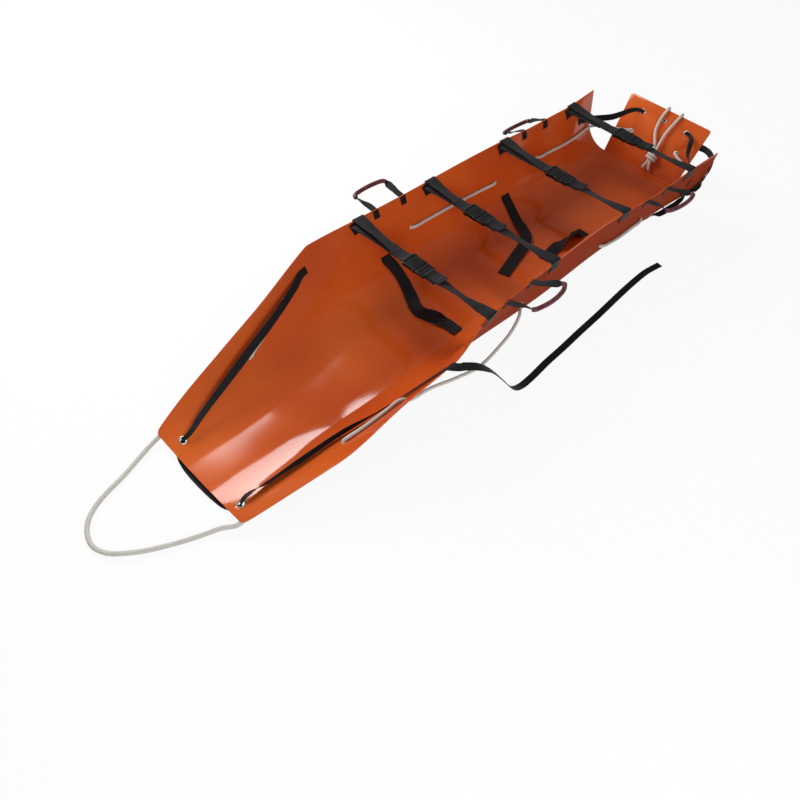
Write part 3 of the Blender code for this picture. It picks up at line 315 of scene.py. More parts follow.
class Sketch:
    """One node material while it is laid out."""

    def __init__(self, name: str) -> None:
        """Start from a plain Principled shader."""
        self.material = bpy.data.materials.new(name)
        self.material.use_nodes = True
        self.nodes = self.material.node_tree.nodes
        self.links = self.material.node_tree.links
        self.shader = self.nodes["Principled BSDF"]

    def set(self, **values: object) -> None:
        """Set or link sockets of the shader, named with underscores for spaces."""
        for name, value in values.items():
            self.put(self.shader.inputs[name.replace("_", " ")], value)

    def put(self, socket: Socket, value: object) -> None:
        """Link a socket to another, or set its value."""
        if isinstance(value, Socket):
            self.links.new(value, socket)
        elif isinstance(value, tuple) and len(value) == 3 and socket.type == "RGBA":
            socket.default_value = (*value, 1.0)
        else:
            socket.default_value = value

    def math(self, operation: str, first: object, second: object = 0.0, third: object = 0.0) -> Socket:
        """Add a Math node and return its result."""
        node = self.nodes.new("ShaderNodeMath")
        node.operation = operation
        for socket, value in zip(node.inputs, (first, second, third)):
            self.put(socket, value)
        return node.outputs[0]

    def times(self, first: object, second: object, added: float = 0.0) -> Socket:
        """Multiply two values and add a third."""
        return self.math("MULTIPLY_ADD", first, second, added)

    def ripple(self, value: Socket) -> Socket:
        """Absolute sine of a value."""
        return self.math("ABSOLUTE", self.math("SINE", value))

    def spot(self) -> Socket:
        """Place on the object, in metres."""
        return self.nodes.new("ShaderNodeTexCoord").outputs["Object"]

    def lay(self) -> tuple[Socket, Socket]:
        """The two directions of the piece's own UV map."""
        split = self.nodes.new("ShaderNodeSeparateXYZ")
        self.links.new(self.nodes.new("ShaderNodeTexCoord").outputs["UV"], split.inputs[0])
        return split.outputs[0], split.outputs[1]

    def noise(
        self, scale: float, detail: float = 3.0, roughness: float = 0.5, stretch: Point = (1.0, 1.0, 1.0),
    ) -> Socket:
        """Add object-space noise.

        Args:
            scale: Features a metre.
            detail: Octaves.
            roughness: Weight of the finer octaves.
            stretch: Scale along each axis before the noise.

        Returns:
            The noise factor.
        """
        mapping = self.nodes.new("ShaderNodeMapping")
        mapping.inputs["Scale"].default_value = stretch
        self.links.new(self.spot(), mapping.inputs["Vector"])
        node = self.nodes.new("ShaderNodeTexNoise")
        self.links.new(mapping.outputs[0], node.inputs["Vector"])
        node.inputs["Scale"].default_value = scale
        node.inputs["Detail"].default_value = detail
        node.inputs["Roughness"].default_value = roughness
        return node.outputs[0]

    def ramp(self, factor: Socket, low: float, high: float, first: float, last: float) -> Socket:
        """Map a factor's range from low to high onto first to last, clamped."""
        node = self.nodes.new("ShaderNodeMapRange")
        self.put(node.inputs["Value"], factor)
        for name, value in zip(("From Min", "From Max", "To Min", "To Max"), (low, high, first, last)):
            node.inputs[name].default_value = value
        return node.outputs[0]

    def mix(self, factor: object, first: object, second: object) -> Socket:
        """Mix two colours."""
        node = self.nodes.new("ShaderNodeMix")
        node.data_type = "RGBA"
        self.put(node.inputs[0], factor)
        self.put(node.inputs[6], first)
        self.put(node.inputs[7], second)
        return node.outputs[2]

    def bump(self, height: Socket, strength: float, distance: float, under: object = None) -> Socket:
        """Add a Bump node over an optional other one."""
        node = self.nodes.new("ShaderNodeBump")
        node.inputs["Strength"].default_value = strength
        node.inputs["Distance"].default_value = distance
        self.links.new(height, node.inputs["Height"])
        if under is not None:
            self.links.new(under, node.inputs["Normal"])
        return node.outputs[0]


@dataclass(frozen=True)
class SheetFinish:
    """Orange plastic sheet, glossy inside with fine scuffs; its downward-facing outer face is matte and darkened with
    painted shade.
    """

    name: str = "orange_sheet"
    slot: str = "orange_plastic"
    deep: Point = (0.540, 0.074, 0.012)
    bright: Point = (0.660, 0.120, 0.020)
    scuff: Point = (0.640, 0.150, 0.060)
    # Colour of the downward-facing outer face: painted shade.
    underside_shade_and_matte: Point = (0.330, 0.044, 0.012)

    def build(self) -> Material:
        """Return the node material."""
        sketch = Sketch(self.name)
        cloud = sketch.noise(2.2, 2.0)
        fleck = sketch.noise(190.0, 2.0)
        scratch = sketch.noise(26.0, 6.0, 0.75, (0.25, 5.0, 2.0))
        scuffed = sketch.ramp(scratch, 0.64, 0.80, 0.0, 0.55)
        tone = sketch.mix(sketch.ramp(cloud, 0.35, 0.65, 0.0, 1.0), self.deep, self.bright)
        upright = sketch.nodes.new("ShaderNodeSeparateXYZ")
        sketch.links.new(sketch.nodes.new("ShaderNodeNewGeometry").outputs["Normal"], upright.inputs[0])
        # Painted shade: faces that point down are mixed towards the darker colour, and are also made matte.
        underside_shade_and_matte = sketch.ramp(upright.outputs["Z"], -0.10, 0.02, 1.0, 0.0)
        gloss = sketch.ramp(cloud, 0.3, 0.7, 0.07, 0.12)
        worn = sketch.math("MAXIMUM", scuffed, underside_shade_and_matte)
        face = sketch.mix(scuffed, tone, self.scuff)
        sketch.set(
            Base_Color=sketch.mix(underside_shade_and_matte, face, self.underside_shade_and_matte), Roughness=sketch.times(worn, 0.45, gloss),
            Specular_IOR_Level=sketch.times(underside_shade_and_matte, -0.25, 0.26),
        )
        wave = sketch.bump(sketch.noise(5.5, 1.0), 0.30, 0.0040)
        grain = sketch.bump(fleck, 0.06, 0.0004, wave)
        sketch.set(Normal=sketch.bump(scuffed, 0.10, 0.0003, grain))
        return sketch.material


@dataclass(frozen=True)
class WebbingFinish:
    """Black woven webbing, its pattern laid along the piece's UV map, with painted shade in the weave's grooves and a
    blue-grey painted sheen on its crests.
    """

    name: str
    ribs: float
    threads: float
    slot: str = "webbing"
    # Colours of the weave's grooves and crests: painted shade in the grooves, and a blue-grey painted sheen on the
    # crests.
    dark: Point = (0.0022, 0.0021, 0.0024)
    light: Point = (0.0110, 0.0110, 0.0140)

    def build(self) -> Material:
        """Return the node material."""
        sketch = Sketch(self.name)
        along, across = sketch.lay()
        warp = sketch.times(across, self.threads * math.tau)
        zigzag = sketch.math("PINGPONG", sketch.times(across, 9.0), 0.5)
        leaning = sketch.times(zigzag, 0.055, along)
        rib = sketch.ripple(sketch.times(leaning, self.ribs * math.pi))
        yarn = sketch.ripple(warp)
        height = sketch.times(sketch.math("POWER", rib, 0.6), sketch.times(yarn, 0.35, 0.65))
        from_middle = sketch.math("ABSOLUTE", sketch.math("SUBTRACT", across, 0.5))
        selvedge = sketch.ramp(from_middle, 0.455, 0.47, 0.0, 0.35)
        wear = sketch.ramp(sketch.noise(34.0, 4.0, 0.65), 0.42, 0.75, 0.0, 0.45)
        # Painted shade and sheen: grooves take the dark colour and crests the blue-grey one, with random wear and
        # lighter selvedges added.
        weave_shade_sheen_and_wear = sketch.math("ADD", sketch.times(height, 0.55, wear), selvedge)
        sketch.set(
            Base_Color=sketch.mix(sketch.math("MINIMUM", weave_shade_sheen_and_wear, 1.0), self.dark, self.light),
            Roughness=sketch.times(height, -0.14, 0.74),
            Sheen_Weight=0.06, Sheen_Roughness=0.45, Specular_IOR_Level=0.22,
            Normal=sketch.bump(height, 0.75, 0.00035),
        )
        return sketch.material


@dataclass(frozen=True)
class BuckleFinish:
    """Black moulded plastic with a fine spark grain."""

    name: str = "buckle_resin"
    slot: str = "buckle_plastic"
    base: Point = (0.0050, 0.0050, 0.0056)
    rubbed: Point = (0.0180, 0.0180, 0.0195)

    def build(self) -> Material:
        """Return the node material."""
        sketch = Sketch(self.name)
        grain = sketch.noise(1500.0, 2.0)
        rub = sketch.ramp(sketch.noise(60.0, 5.0, 0.7), 0.55, 0.8, 0.0, 0.6)
        sketch.set(
            Base_Color=sketch.mix(rub, self.base, self.rubbed),
            Roughness=sketch.times(rub, 0.15, 0.34), Specular_IOR_Level=0.35,
            Normal=sketch.bump(grain, 0.25, 0.00008),
        )
        return sketch.material


@dataclass(frozen=True)
class GripFinish:
    """Dark red rubber tube with lengthwise draw marks."""

    name: str = "grip_rubber"
    slot: str = "grip_tube"
    base: Point = (0.095, 0.012, 0.018)
    worn: Point = (0.200, 0.055, 0.060)
    marks: int = 24

    def build(self) -> Material:
        """Return the node material."""
        sketch = Sketch(self.name)
        _, around = sketch.lay()
        draw = sketch.ripple(sketch.times(around, self.marks * math.pi))
        wear = sketch.ramp(sketch.noise(55.0, 4.0, 0.6), 0.45, 0.72, 0.0, 0.7)
        sketch.set(
            Base_Color=sketch.mix(wear, self.base, self.worn),
            Roughness=sketch.times(wear, 0.20, 0.36),
            Specular_IOR_Level=0.5,
            Normal=sketch.bump(draw, 0.35, 0.00025),
        )
        return sketch.material


@dataclass(frozen=True)
class RopeFinish:
    """Plaited off-white rope, with painted shade in the grooves between its strands."""

    name: str = "plaited_rope"
    slot: str = "rope"
    # Colour in the grooves between strands: painted shade.
    groove_shade: Point = (0.34, 0.32, 0.28)
    crest: Point = (0.86, 0.84, 0.79)
    soiled: Point = (0.520, 0.480, 0.420)
    strands: float = 4.0

    def build(self) -> Material:
        """Return the node material."""
        sketch = Sketch(self.name)
        along, around = sketch.lay()
        angle = sketch.times(around, self.strands * math.tau)
        run = sketch.times(along, math.pi)
        right_lay, left_lay = (sketch.math(way, angle, run) for way in ("ADD", "SUBTRACT"))
        right, left = (sketch.math("ABSOLUTE", sketch.math("COSINE", lay)) for lay in (right_lay, left_lay))
        plait = sketch.times(right, left)
        yarn = sketch.ripple(sketch.times(right_lay, 3.0))
        dirt = sketch.ramp(sketch.noise(24.0, 4.0, 0.65), 0.40, 0.70, 0.0, 0.75)
        # Painted shade: the grooves between the strands take the dark colour.
        plait_with_groove_shade = sketch.mix(sketch.math("POWER", plait, 0.55), self.groove_shade, self.crest)
        sketch.set(
            Base_Color=sketch.mix(sketch.times(dirt, 0.55), plait_with_groove_shade, self.soiled),
            Roughness=0.85, Specular_IOR_Level=0.25, Sheen_Weight=0.15, Sheen_Roughness=0.6,
            Normal=sketch.bump(yarn, 0.35, 0.00020),
        )
        return sketch.material


@dataclass(frozen=True)
class EyeletFinish:
    """Plated metal with turning marks and dull patches."""

    name: str = "plated_eyelet"
    slot: str = "eyelet_metal"
    bright: Point = (0.62, 0.58, 0.49)
    dull: Point = (0.36, 0.31, 0.22)

    def build(self) -> Material:
        """Return the node material."""
        sketch = Sketch(self.name)
        patch = sketch.ramp(sketch.noise(160.0, 5.0, 0.65), 0.42, 0.72, 0.0, 1.0)
        sketch.set(
            Base_Color=sketch.mix(patch, self.bright, self.dull), Metallic=1.0,
            Roughness=sketch.times(patch, 0.18, 0.44),
            Normal=sketch.bump(sketch.noise(900.0, 2.0), 0.15, 0.00010),
        )
        return sketch.material


@dataclass(frozen=True)
class ThreadFinish:
    """Waxed sewing thread."""

    name: str = "sewing_thread"
    slot: str = "webbing"
    base: Point = (0.030, 0.029, 0.031)
    worn: Point = (0.085, 0.082, 0.086)

    def build(self) -> Material:
        """Return the node material."""
        sketch = Sketch(self.name)
        fuzz = sketch.noise(2400.0, 2.0)
        sketch.set(
            Base_Color=sketch.mix(sketch.ramp(sketch.noise(120.0), 0.4, 0.7, 0.0, 1.0), self.base, self.worn),
            Roughness=0.6, Sheen_Weight=0.2, Normal=sketch.bump(fuzz, 0.3, 0.00005),
        )
        return sketch.material


Finish = SheetFinish | WebbingFinish | BuckleFinish | GripFinish | RopeFinish | EyeletFinish | ThreadFinish

SHEET_FINISH = SheetFinish()
WIDE_WEB = WebbingFinish("wide_webbing", 30.0, 11.0)
LIGHT_WEB = WebbingFinish("light_webbing", 17.0, 7.0)
BUCKLE_FINISH = BuckleFinish()
GRIP_FINISH = GripFinish()
ROPE_FINISH = RopeFinish()
EYELET_FINISH = EyeletFinish()
THREAD_FINISH = ThreadFinish()


@lru_cache(maxsize=None)
def material_of(finish: Finish) -> Material:
    """Build a finish's material once."""
    return finish.build()


# Mesh helpers


def linked(name: str, data: bpy.types.ID) -> Piece:
    """Add an object to the scene."""
    thing = bpy.data.objects.new(name, data)
    bpy.context.scene.collection.objects.link(thing)
    return thing


def as_object(name: str, build: Build) -> Piece:
    """Turn a mesh under construction, which is freed, into an object."""
    mesh = bpy.data.meshes.new(name)
    build.to_mesh(mesh)
    build.free()
    return linked(name, mesh)


def smoothed(mesh: bpy.types.Mesh, crease: float = 40.0) -> None:
    """Shade a mesh smooth, with edges past an angle in degrees left sharp."""
    mesh.shade_smooth()
    mesh.set_sharp_from_angle(angle=math.radians(crease))


def thicken(piece: Piece, thickness: float, even: bool = False) -> None:
    """Give a sheet its thickness about its mid surface."""
    wall = piece.modifiers.new("thickness", "SOLIDIFY")
    wall.thickness, wall.offset, wall.use_even_offset = thickness, 0.0, even


def soften(piece: Piece, width: float, segments: int, angle: float) -> None:
    """Bevel the edges that turn by more than an angle in degrees."""
    edge = piece.modifiers.new("edge", "BEVEL")
    edge.width, edge.segments, edge.limit_method = width, segments, "ANGLE"
    edge.angle_limit = math.radians(angle)


def dressed(name: str, build: Build, finish: Finish, crease: float = 40.0) -> Piece:
    """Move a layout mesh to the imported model's place and link it as a finished piece.

    Args:
        name: Name of the piece.
        build: The mesh, which is freed.
        finish: Its finish.
        crease: Angle in degrees past which an edge stays sharp.

    Returns:
        The new object, at the origin.
    """
    bmesh.ops.translate(build, verts=build.verts, vec=SHIFT)
    piece = as_object(name, build)
    smoothed(piece.data, crease)
    piece.data.materials.append(material_of(finish))
    return piece


def report(piece: Piece, body: str, *nodes: str) -> None:
    """Let a piece ride on a body, stand for its nodes, and say so."""
    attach(piece, body)
    if nodes:
        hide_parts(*nodes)
    LOG.info("%s rides on %s", piece.name, body)


def bends(piece: Piece, start: Vector, end: Vector, *nodes: str, body: str = "head_flap") -> None:
    """Bake a piece's place into its mesh, stand for its nodes, and log that it bends between the sheet and another
    body.
    """
    if nodes:
        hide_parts(*nodes)
    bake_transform(piece)
    LOG.info("%s bends between the sheet and %s", piece.name, body)


def bent_grid(
    rows: int, columns: int, place: Callable[[int, int], Vector], mark: Callable[[int, int], Spot],
) -> Build:
    """Bend a flat grid into a surface with a UV map.

    Args:
        rows: Number of points along.
        columns: Number of points across.
        place: Gives the point of a row and column.
        mark: Gives the UV of a row and column.

    Returns:
        The surface.
    """
    build = bmesh.new()
    bmesh.ops.create_grid(build, x_segments=rows - 1, y_segments=columns - 1, size=0.5)
    layer = build.loops.layers.uv.new("lay")
    spots = {
        vert: (round((vert.co.x + 0.5) * (rows - 1)), round((vert.co.y + 0.5) * (columns - 1)))
        for vert in build.verts
    }
    for face in build.faces:
        for loop in face.loops:
            loop[layer].uv = mark(*spots[loop.vert])
    for vert, spot in spots.items():
        vert.co = place(*spot)
    return build


def direction(points: Sequence[Vector], index: int) -> Vector:
    """Heading of a line of points at one of them."""
    return (points[min(index + 1, len(points) - 1)] - points[max(index - 1, 0)]).normalized()


def distances(points: Sequence[Vector]) -> list[float]:
    """Distance of each point along the line through them."""
    lengths = [0.0]
    for a, b in zip(points, points[1:]):
        lengths.append(lengths[-1] + (b - a).length)
    return lengths


def smooth_line(points: Sequence[Sequence[float]], step: float) -> list[Vector]:
    """Points at an even step along a smooth curve through the given ones.

    Args:
        points: Points of any number of values.
        step: Spacing of the result.

    Returns:
        The new points, with the same number of values.
    """
    knots = [Vector(point) for point in points]
    spans = [max((b - a).length, 1e-6) for a, b in zip(knots, knots[1:])]
    slopes = [(b - a) / span for a, b, span in zip(knots, knots[1:], spans)]
    bends = [slopes[0]]
    for i in range(1, len(slopes)):
        bends.append((slopes[i - 1] * spans[i] + slopes[i] * spans[i - 1]) / (spans[i] + spans[i - 1]))
    bends.append(slopes[-1])
    fine: list[Vector] = []
    for i, span in enumerate(spans):
        pieces = max(6, math.ceil(span / step) * 2)
        for k in range(pieces):
            fine.append(eased(knots[i], knots[i + 1], bends[i], bends[i + 1], span, k / pieces))
    fine.append(knots[-1])
    lengths = distances(fine)
    count = max(2, round(lengths[-1] / step))
    route: list[Vector] = []
    at = 0
    for k in range(count + 1):
        want = lengths[-1] * k / count
        while at < len(fine) - 2 and lengths[at + 1] < want:
            at += 1
        share = min((want - lengths[at]) / max(lengths[at + 1] - lengths[at], 1e-9), 1.0)
        route.append(fine[at].lerp(fine[at + 1], share))
    return route


def length_of(points: Sequence[Vector]) -> float:
    """Length of a line through its points."""
    return sum((b - a).length for a, b in zip(points, points[1:]))


def slab(outline: Sequence[Spot], half: float) -> Build:
    """Raise an outline in x and y into a plate, half of its height to each side."""
    build = bmesh.new()
    face = build.faces.new([build.verts.new((x, y, -half)) for x, y in outline])
    made = bmesh.ops.extrude_face_region(build, geom=[face])["geom"]
    risen = [item for item in made if isinstance(item, bmesh.types.BMVert)]
    bmesh.ops.translate(build, verts=risen, vec=(0, 0, 2 * half))
    return build


def rounded(build: Build, edges: Sequence[bmesh.types.BMEdge], radius: float, segments: int) -> None:
    """Round edges of a mesh under construction."""
    bmesh.ops.bevel(build, geom=edges, offset=radius, affect="EDGES", segments=segments, profile=0.5, material=-1)


def slot_cutter(build: Build, matrix: Matrix, length: float, width: float) -> None:
    """Add a round-ended slot cutter, or a round one where the two sizes agree."""
    sides = 36 if length == width else 20
    made = bmesh.ops.create_cone(
        build, cap_ends=True, segments=sides, radius1=width / 2, radius2=width / 2, depth=0.024,
    )["verts"]
    bmesh.ops.rotate(build, verts=made, cent=(0, 0, 0), matrix=Matrix.Rotation(math.pi / sides, 3, "Z"))
    for vert in made:
        vert.co.x += math.copysign((length - width) / 2, vert.co.x)
    bmesh.ops.transform(build, verts=made, matrix=matrix)


def cut_out(piece: Piece, cutters: Sequence[Build], edge: float, segments: int, angle: float) -> None:
    """Take cutters out of a piece, soften its rims and keep the result as its mesh.

    Args:
        piece: The piece.
        cutters: Closed meshes in the piece's place, which are freed.
        edge: Width of the softened rims.
        segments: Segments of the rims.
        angle: Angle in degrees past which an edge is softened.
    """
    tools = [as_object("cutter", cutter) for cutter in cutters]
    for tool in tools:
        take = piece.modifiers.new("cut", "BOOLEAN")
        take.operation, take.solver, take.object = "DIFFERENCE", "EXACT", tool
    soften(piece, edge, segments, angle)
    keep_modifiers(piece)
    for tool in tools:
        bpy.data.meshes.remove(tool.data)


def carved(piece: Piece, cutter: Build) -> None:
    """Take cutters in the layout frame out of a piece of sheet."""
    bmesh.ops.translate(cutter, verts=cutter.verts, vec=SHIFT)
    bmesh.ops.recalc_face_normals(cutter, faces=cutter.faces)
    cut_out(piece, [cutter], FORM.rim, 2, 55.0)


def keep_modifiers(piece: Piece) -> None:
    """Make what a piece's modifiers give its own mesh."""
    depsgraph = bpy.context.evaluated_depsgraph_get()
    mesh = bpy.data.meshes.new_from_object(piece.evaluated_get(depsgraph))
    old = piece.data
    piece.modifiers.clear()
    piece.data = mesh
    bpy.data.meshes.remove(old)
    mesh.name = piece.name
    smoothed(mesh)


# Webbing


@dataclass(frozen=True)
class Station:
    """One cross section of webbing: its middle, sideways direction and width."""

    point: Vector
    side: Vector
    width: float
    slanted: bool = False


@dataclass
class Tape:
    """A length of webbing through its stations."""

    name: str
    stations: list[Station]
    finish: WebbingFinish
    thickness: float = LAY.web - 0.0002
    step: float = 0.0035
    sections: list[tuple[Vector, Vector]] = field(default_factory=list)

    def __post_init__(self) -> None:
        """Refine the stations into evenly spaced middles and half sections."""
        middles = [station.point for station in self.stations]
        halves = []
        for index, station in enumerate(self.stations):
            half = station.side
            if not station.slanted:
                ahead = direction(middles, index)
                half = half - ahead * half.dot(ahead)
            halves.append(half.normalized() * station.width / 2)
        lengths = distances(middles)
        centre = smooth_line(middles, self.step)
        for index, point in enumerate(centre):
            want = lengths[-1] * index / (len(centre) - 1)
            at = max(i for i in range(len(lengths) - 1) if lengths[i] <= want + 1e-9)
            share = min((want - lengths[at]) / max(lengths[at + 1] - lengths[at], 1e-9), 1.0)
            share = share * share * (3 - 2 * share)
            first, second = halves[at:at + 2]
            half = first.lerp(second, share)
            half = half.normalized() * (first.length * (1 - share) + second.length * share)
            self.sections.append((point, half))

    @property
    def length(self) -> float:
        """Length of the webbing along its middle."""
        return length_of([point for point, _ in self.sections])

    def spot(self, along: float, across: float, lift: float) -> Matrix:
        """Matrix on the webbing, x along it and z off its face.

        Args:
            along: Distance from its start.
            across: Distance from its middle.
            lift: Height off its mid surface.

        Returns:
            The matrix in the layout frame.
        """
        at = min(max(along / self.length * (len(self.sections) - 1), 0.0), len(self.sections) - 1.001)
        index = int(at)
        (first, half), (second, _) = self.sections[index], self.sections[index + 1]
        ahead = (second - first).normalized()
        side = (half - ahead * half.dot(ahead)).normalized()
        off = ahead.cross(side)
        return frame_of((ahead, side, off), first.lerp(second, at - index) + side * across + off * lift)

    def build(self) -> Piece:
        """Return the webbing as a piece with soft edges."""
        columns = (-1.0, -0.93, -0.45, 0.0, 0.45, 0.93, 1.0)
        spacing = self.length / (len(self.sections) - 1)

        def place(i: int, j: int) -> Vector:
            """Point of a row and column."""
            point, half = self.sections[i]
            return point + half * columns[j]

        def mark(i: int, j: int) -> Spot:
            """UV of a row and column."""
            return i * spacing / self.stations[0].width, (columns[j] + 1) / 2

        piece = dressed(self.name, bent_grid(len(self.sections), len(columns), place, mark), self.finish, 60.0)
        thicken(piece, self.thickness)
        soften(piece, 0.0005, 2, 60.0)
        return piece


@dataclass
class Stitching:
    """Rows of thread sewn on webbing."""

    name: str
    stitch: float = 0.0032
    gap: float = 0.0011
    thread: float = 0.00042
    build: Build = field(default_factory=bmesh.new)

    def row(self, tape: Tape, start: Spot, end: Spot, lift: float) -> None:
        """Sew one straight row.

        Args:
            tape: The webbing.
            start: Distances along and across of its first stitch.
            end: Distances along and across of its last stitch.
            lift: Height of the thread off the webbing's mid surface.
        """
        first, last = Vector(start), Vector(end)
        pitch = self.stitch + self.gap
        count = max(1, int((last - first).length / pitch))
        heading = math.atan2(last.y - first.y, last.x - first.x)
        for index in range(count):
            at = first.lerp(last, (index + 0.5) / count)
            matrix = tape.spot(at.x, at.y, lift) @ Matrix.Rotation(heading, 4, "Z")
            matrix = matrix @ Matrix.Diagonal((self.stitch / 2, self.thread, self.thread * 0.8, 1.0))
            bmesh.ops.create_uvsphere(self.build, u_segments=5, v_segments=4, radius=1.0, matrix=matrix)

    def box(self, tape: Tape, start: float, end: float, half: float, lift: float) -> None:
        """Sew a square with a cross in it, on one face of the webbing."""
        for first, last in (
            ((start, -half), (end, -half)), ((start, half), (end, half)), ((start, -half), (start, half)),
            ((end, -half), (end, half)), ((start, -half), (end, half)), ((start, half), (end, -half)),
        ):
            self.row(tape, first, last, lift)

    def bars(self, tape: Tape, at: float, half: float, lift: float) -> None:
        """Sew three close rows across the webbing."""
        for shift in (-0.0022, 0.0, 0.0022):
            self.row(tape, (at + shift, -half), (at + shift, half), lift)

    def finish(self) -> Piece:
        """Return all the rows as one piece."""
        return dressed(self.name, self.build, THREAD_FINISH, 80.0)


def sewn(tape: Tape, body: str, *rows: Spot, name: str = "") -> None:
    """Sew rows across webbing as one piece.

    Args:
        tape: The webbing.
        body: Body that it rides on.
        rows: Distance along it, negative from its end, and face, of each row.
        name: Name of the piece, where it isn't the webbing's with _threads.
    """
    threads = Stitching(name or f"{tape.name}_threads")
    inset = 0.003 if tape.finish is LIGHT_WEB else 0.004
    for at, face in rows:
        spot = at if at > 0 else tape.length + at
        threads.bars(tape, spot, tape.stations[0].width / 2 - inset, face * (tape.thickness / 2 + 0.0001))
    report(threads.finish(), body)


def edge_stations(
    u: float, side: Side, width: float, slot: float, tab_top: float, drift: float = 0.0,
) -> list[Station]:
    """Stations of webbing down the inner face, through its slot and up the outer face.

    Args:
        u: Place along the sheet.
        side: Which wall.
        width: Width of the webbing.
        slot: Distance of the slot from the sheet's middle.
        tab_top: Distance of the webbing's start from the sheet's middle.
        drift: How far towards the foot its start lies from its slot.

    Returns:
        The stations, from the inner face to the outer.
    """
    way = side.value
    along, across, normal = FORM.axes(u, way * slot)
    high = LAY.on_sheet
    corner = LAY.bend * math.sin(math.pi / 4)
    lag = LAY.bend - corner
    middle = FORM.point(u, way * slot)
    stations = []
    for k in range(4):
        s = tab_top + (slot + 0.006 - tab_top) * k / 4
        at = u - drift * (1 - k / 4)
        stations.append(Station(FORM.laid(at, way * s, high), FORM.axes(at, way * s)[0], width))
    for s, height in (
        (LAY.bend, high), (lag, high - lag), (0.0, high - LAY.bend), (0.0, LAY.bend - high), (lag, lag - high),
        (LAY.bend, -high),
    ):
        stations.append(Station(middle + way * across * s + normal * height, along, width))
    return stations


def slot_pass(
    u: float, s: float, heading: Spot, tab: float, width: float = LAY.light_width,
) -> list[Station]:
    """Stations of webbing from an outer tab through a slot to the inside.

    Args:
        u: Place of the slot along the sheet.
        s: Place of the slot across it.
        heading: Direction of the webbing on the sheet.
        tab: Length of the outer tab.
        width: Width of the webbing.

    Returns:
        The stations.
    """
    along, across, normal = FORM.axes(u, s)
    ahead = along * heading[0] + across * heading[1]
    side = normal.cross(ahead)
    half_pass, lip = 0.0020, 0.008
    stations = []
    for distance, height in (
        (-tab, -LAY.on_sheet), (-lip, -LAY.on_sheet), (-half_pass, -LAY.on_sheet), (half_pass, LAY.on_sheet),
        (lip, LAY.on_sheet),
    ):
        at = FORM.laid(u + heading[0] * distance, s + heading[1] * distance, height)
        if abs(distance) <= lip:
            at = FORM.point(u, s) + ahead * distance + normal * height
        stations.append(Station(at, side, width))
    return stations


def rising(points: Sequence[tuple[Vector, Vector]], width: float) -> list[Station]:
    """Stations of flat webbing through points with an upward direction each."""
    stations = []
    for index, (point, up) in enumerate(points):
        before = points[max(index - 1, 0)][0]
        after = points[min(index + 1, len(points) - 1)][0]
        stations.append(Station(point, up.cross(after - before).normalized(), width))
    return stations


# The sheet and its flap


@dataclass
class CurledSheet:
    """The trough: one plastic sheet with its slots, rope holes and softened edges."""

    columns: int = 190
    rows: int = 88
    corner: float = 0.016

    def stops(self) -> list[float]:
        """Distances from the foot edge of the mesh's columns."""
        fine = [self.corner * (1 - math.cos(math.pi / 2 * k / 6)) for k in range(7)]
        rest = [self.corner + (FORM.length - self.corner) * k / self.columns for k in range(1, self.columns + 1)]
        return fine + rest

    def half_width(self, u: float) -> float:
        """Half width with the foot's corners rounded."""
        half = FORM.half_width(u)
        if u < self.corner:
            half -= self.corner - math.sqrt(self.corner ** 2 - (self.corner - u) ** 2)
        return half

    def punch(self) -> Build:
        """Return cutters for every slot and hole."""
        tool = bmesh.new()
        above, below, spare, pass_slot = 0.0020, 0.0016, 0.002, 0.0054
        legs = [at + way * LAY.handle_span / 2 for at in LAY.handle_at for way in (-1, 1)]
        for side in Side:
            for places, slot, width in (
                (LAY.strap_at, LAY.strap_slot, LAY.strap_width), (legs, LAY.handle_slot, LAY.light_width),
            ):
                middle = slot + (above - below) / 2
                for u in places:
                    slot_cutter(tool, FORM.place(u, side.value * middle), width + spare, above + below)
            for u, s in LAY.rope_holes:
                slot_cutter(tool, FORM.place(u, side.value * s), LAY.wall_hole, LAY.wall_hole)
            u, s = LAY.head_strap_slot
            slot_cutter(tool, FORM.place(u, side.value * s, math.pi / 2), LAY.light_width + spare, pass_slot)
        for u, s in LAY.foot_grommets:
            slot_cutter(tool, FORM.place(u, s), LAY.foot_hole, LAY.foot_hole)
        slot_cutter(tool, FORM.place(*LAY.foot_strap_slot, math.pi / 2), LAY.light_width + spare, pass_slot)
        for index, (u, s) in enumerate(LAY.inner_strap_slots):
            turn = math.pi / 2 if index == 2 else 0.0
            slot_cutter(tool, FORM.place(u, s, turn), LAY.inner_width + spare, pass_slot)
        return tool

    def build(self) -> None:
        """Make the sheet and let it stand for its solid."""
        stops = self.stops()

        def place(i: int, j: int) -> Vector:
            """Point of a row and column."""
            return FORM.point(stops[i], (2 * j / self.rows - 1) * self.half_width(stops[i]))

        def mark(i: int, j: int) -> Spot:
            """UV of a row and column."""
            return stops[i], (2 * j / self.rows - 1) * self.half_width(stops[i])

        piece = dressed("curled_sheet", bent_grid(len(stops), self.rows + 1, place, mark), SHEET_FINISH)
        thicken(piece, FORM.thickness, even=True)
        carved(piece, self.punch())
        report(piece, "root", "hull_sheet")


CREASE = FORM.point(FORM.length, 0.0)
FLAP_FRAME = Matrix.Translation(CREASE) @ Matrix.Rotation(-LAY.flap_rise, 4, "Y")


def flap_point(a: float, y: float, height: float) -> Vector:
    """Layout point at a distance up the flap, across it, and off its inner face."""
    return FLAP_FRAME @ Vector((a, y, height))


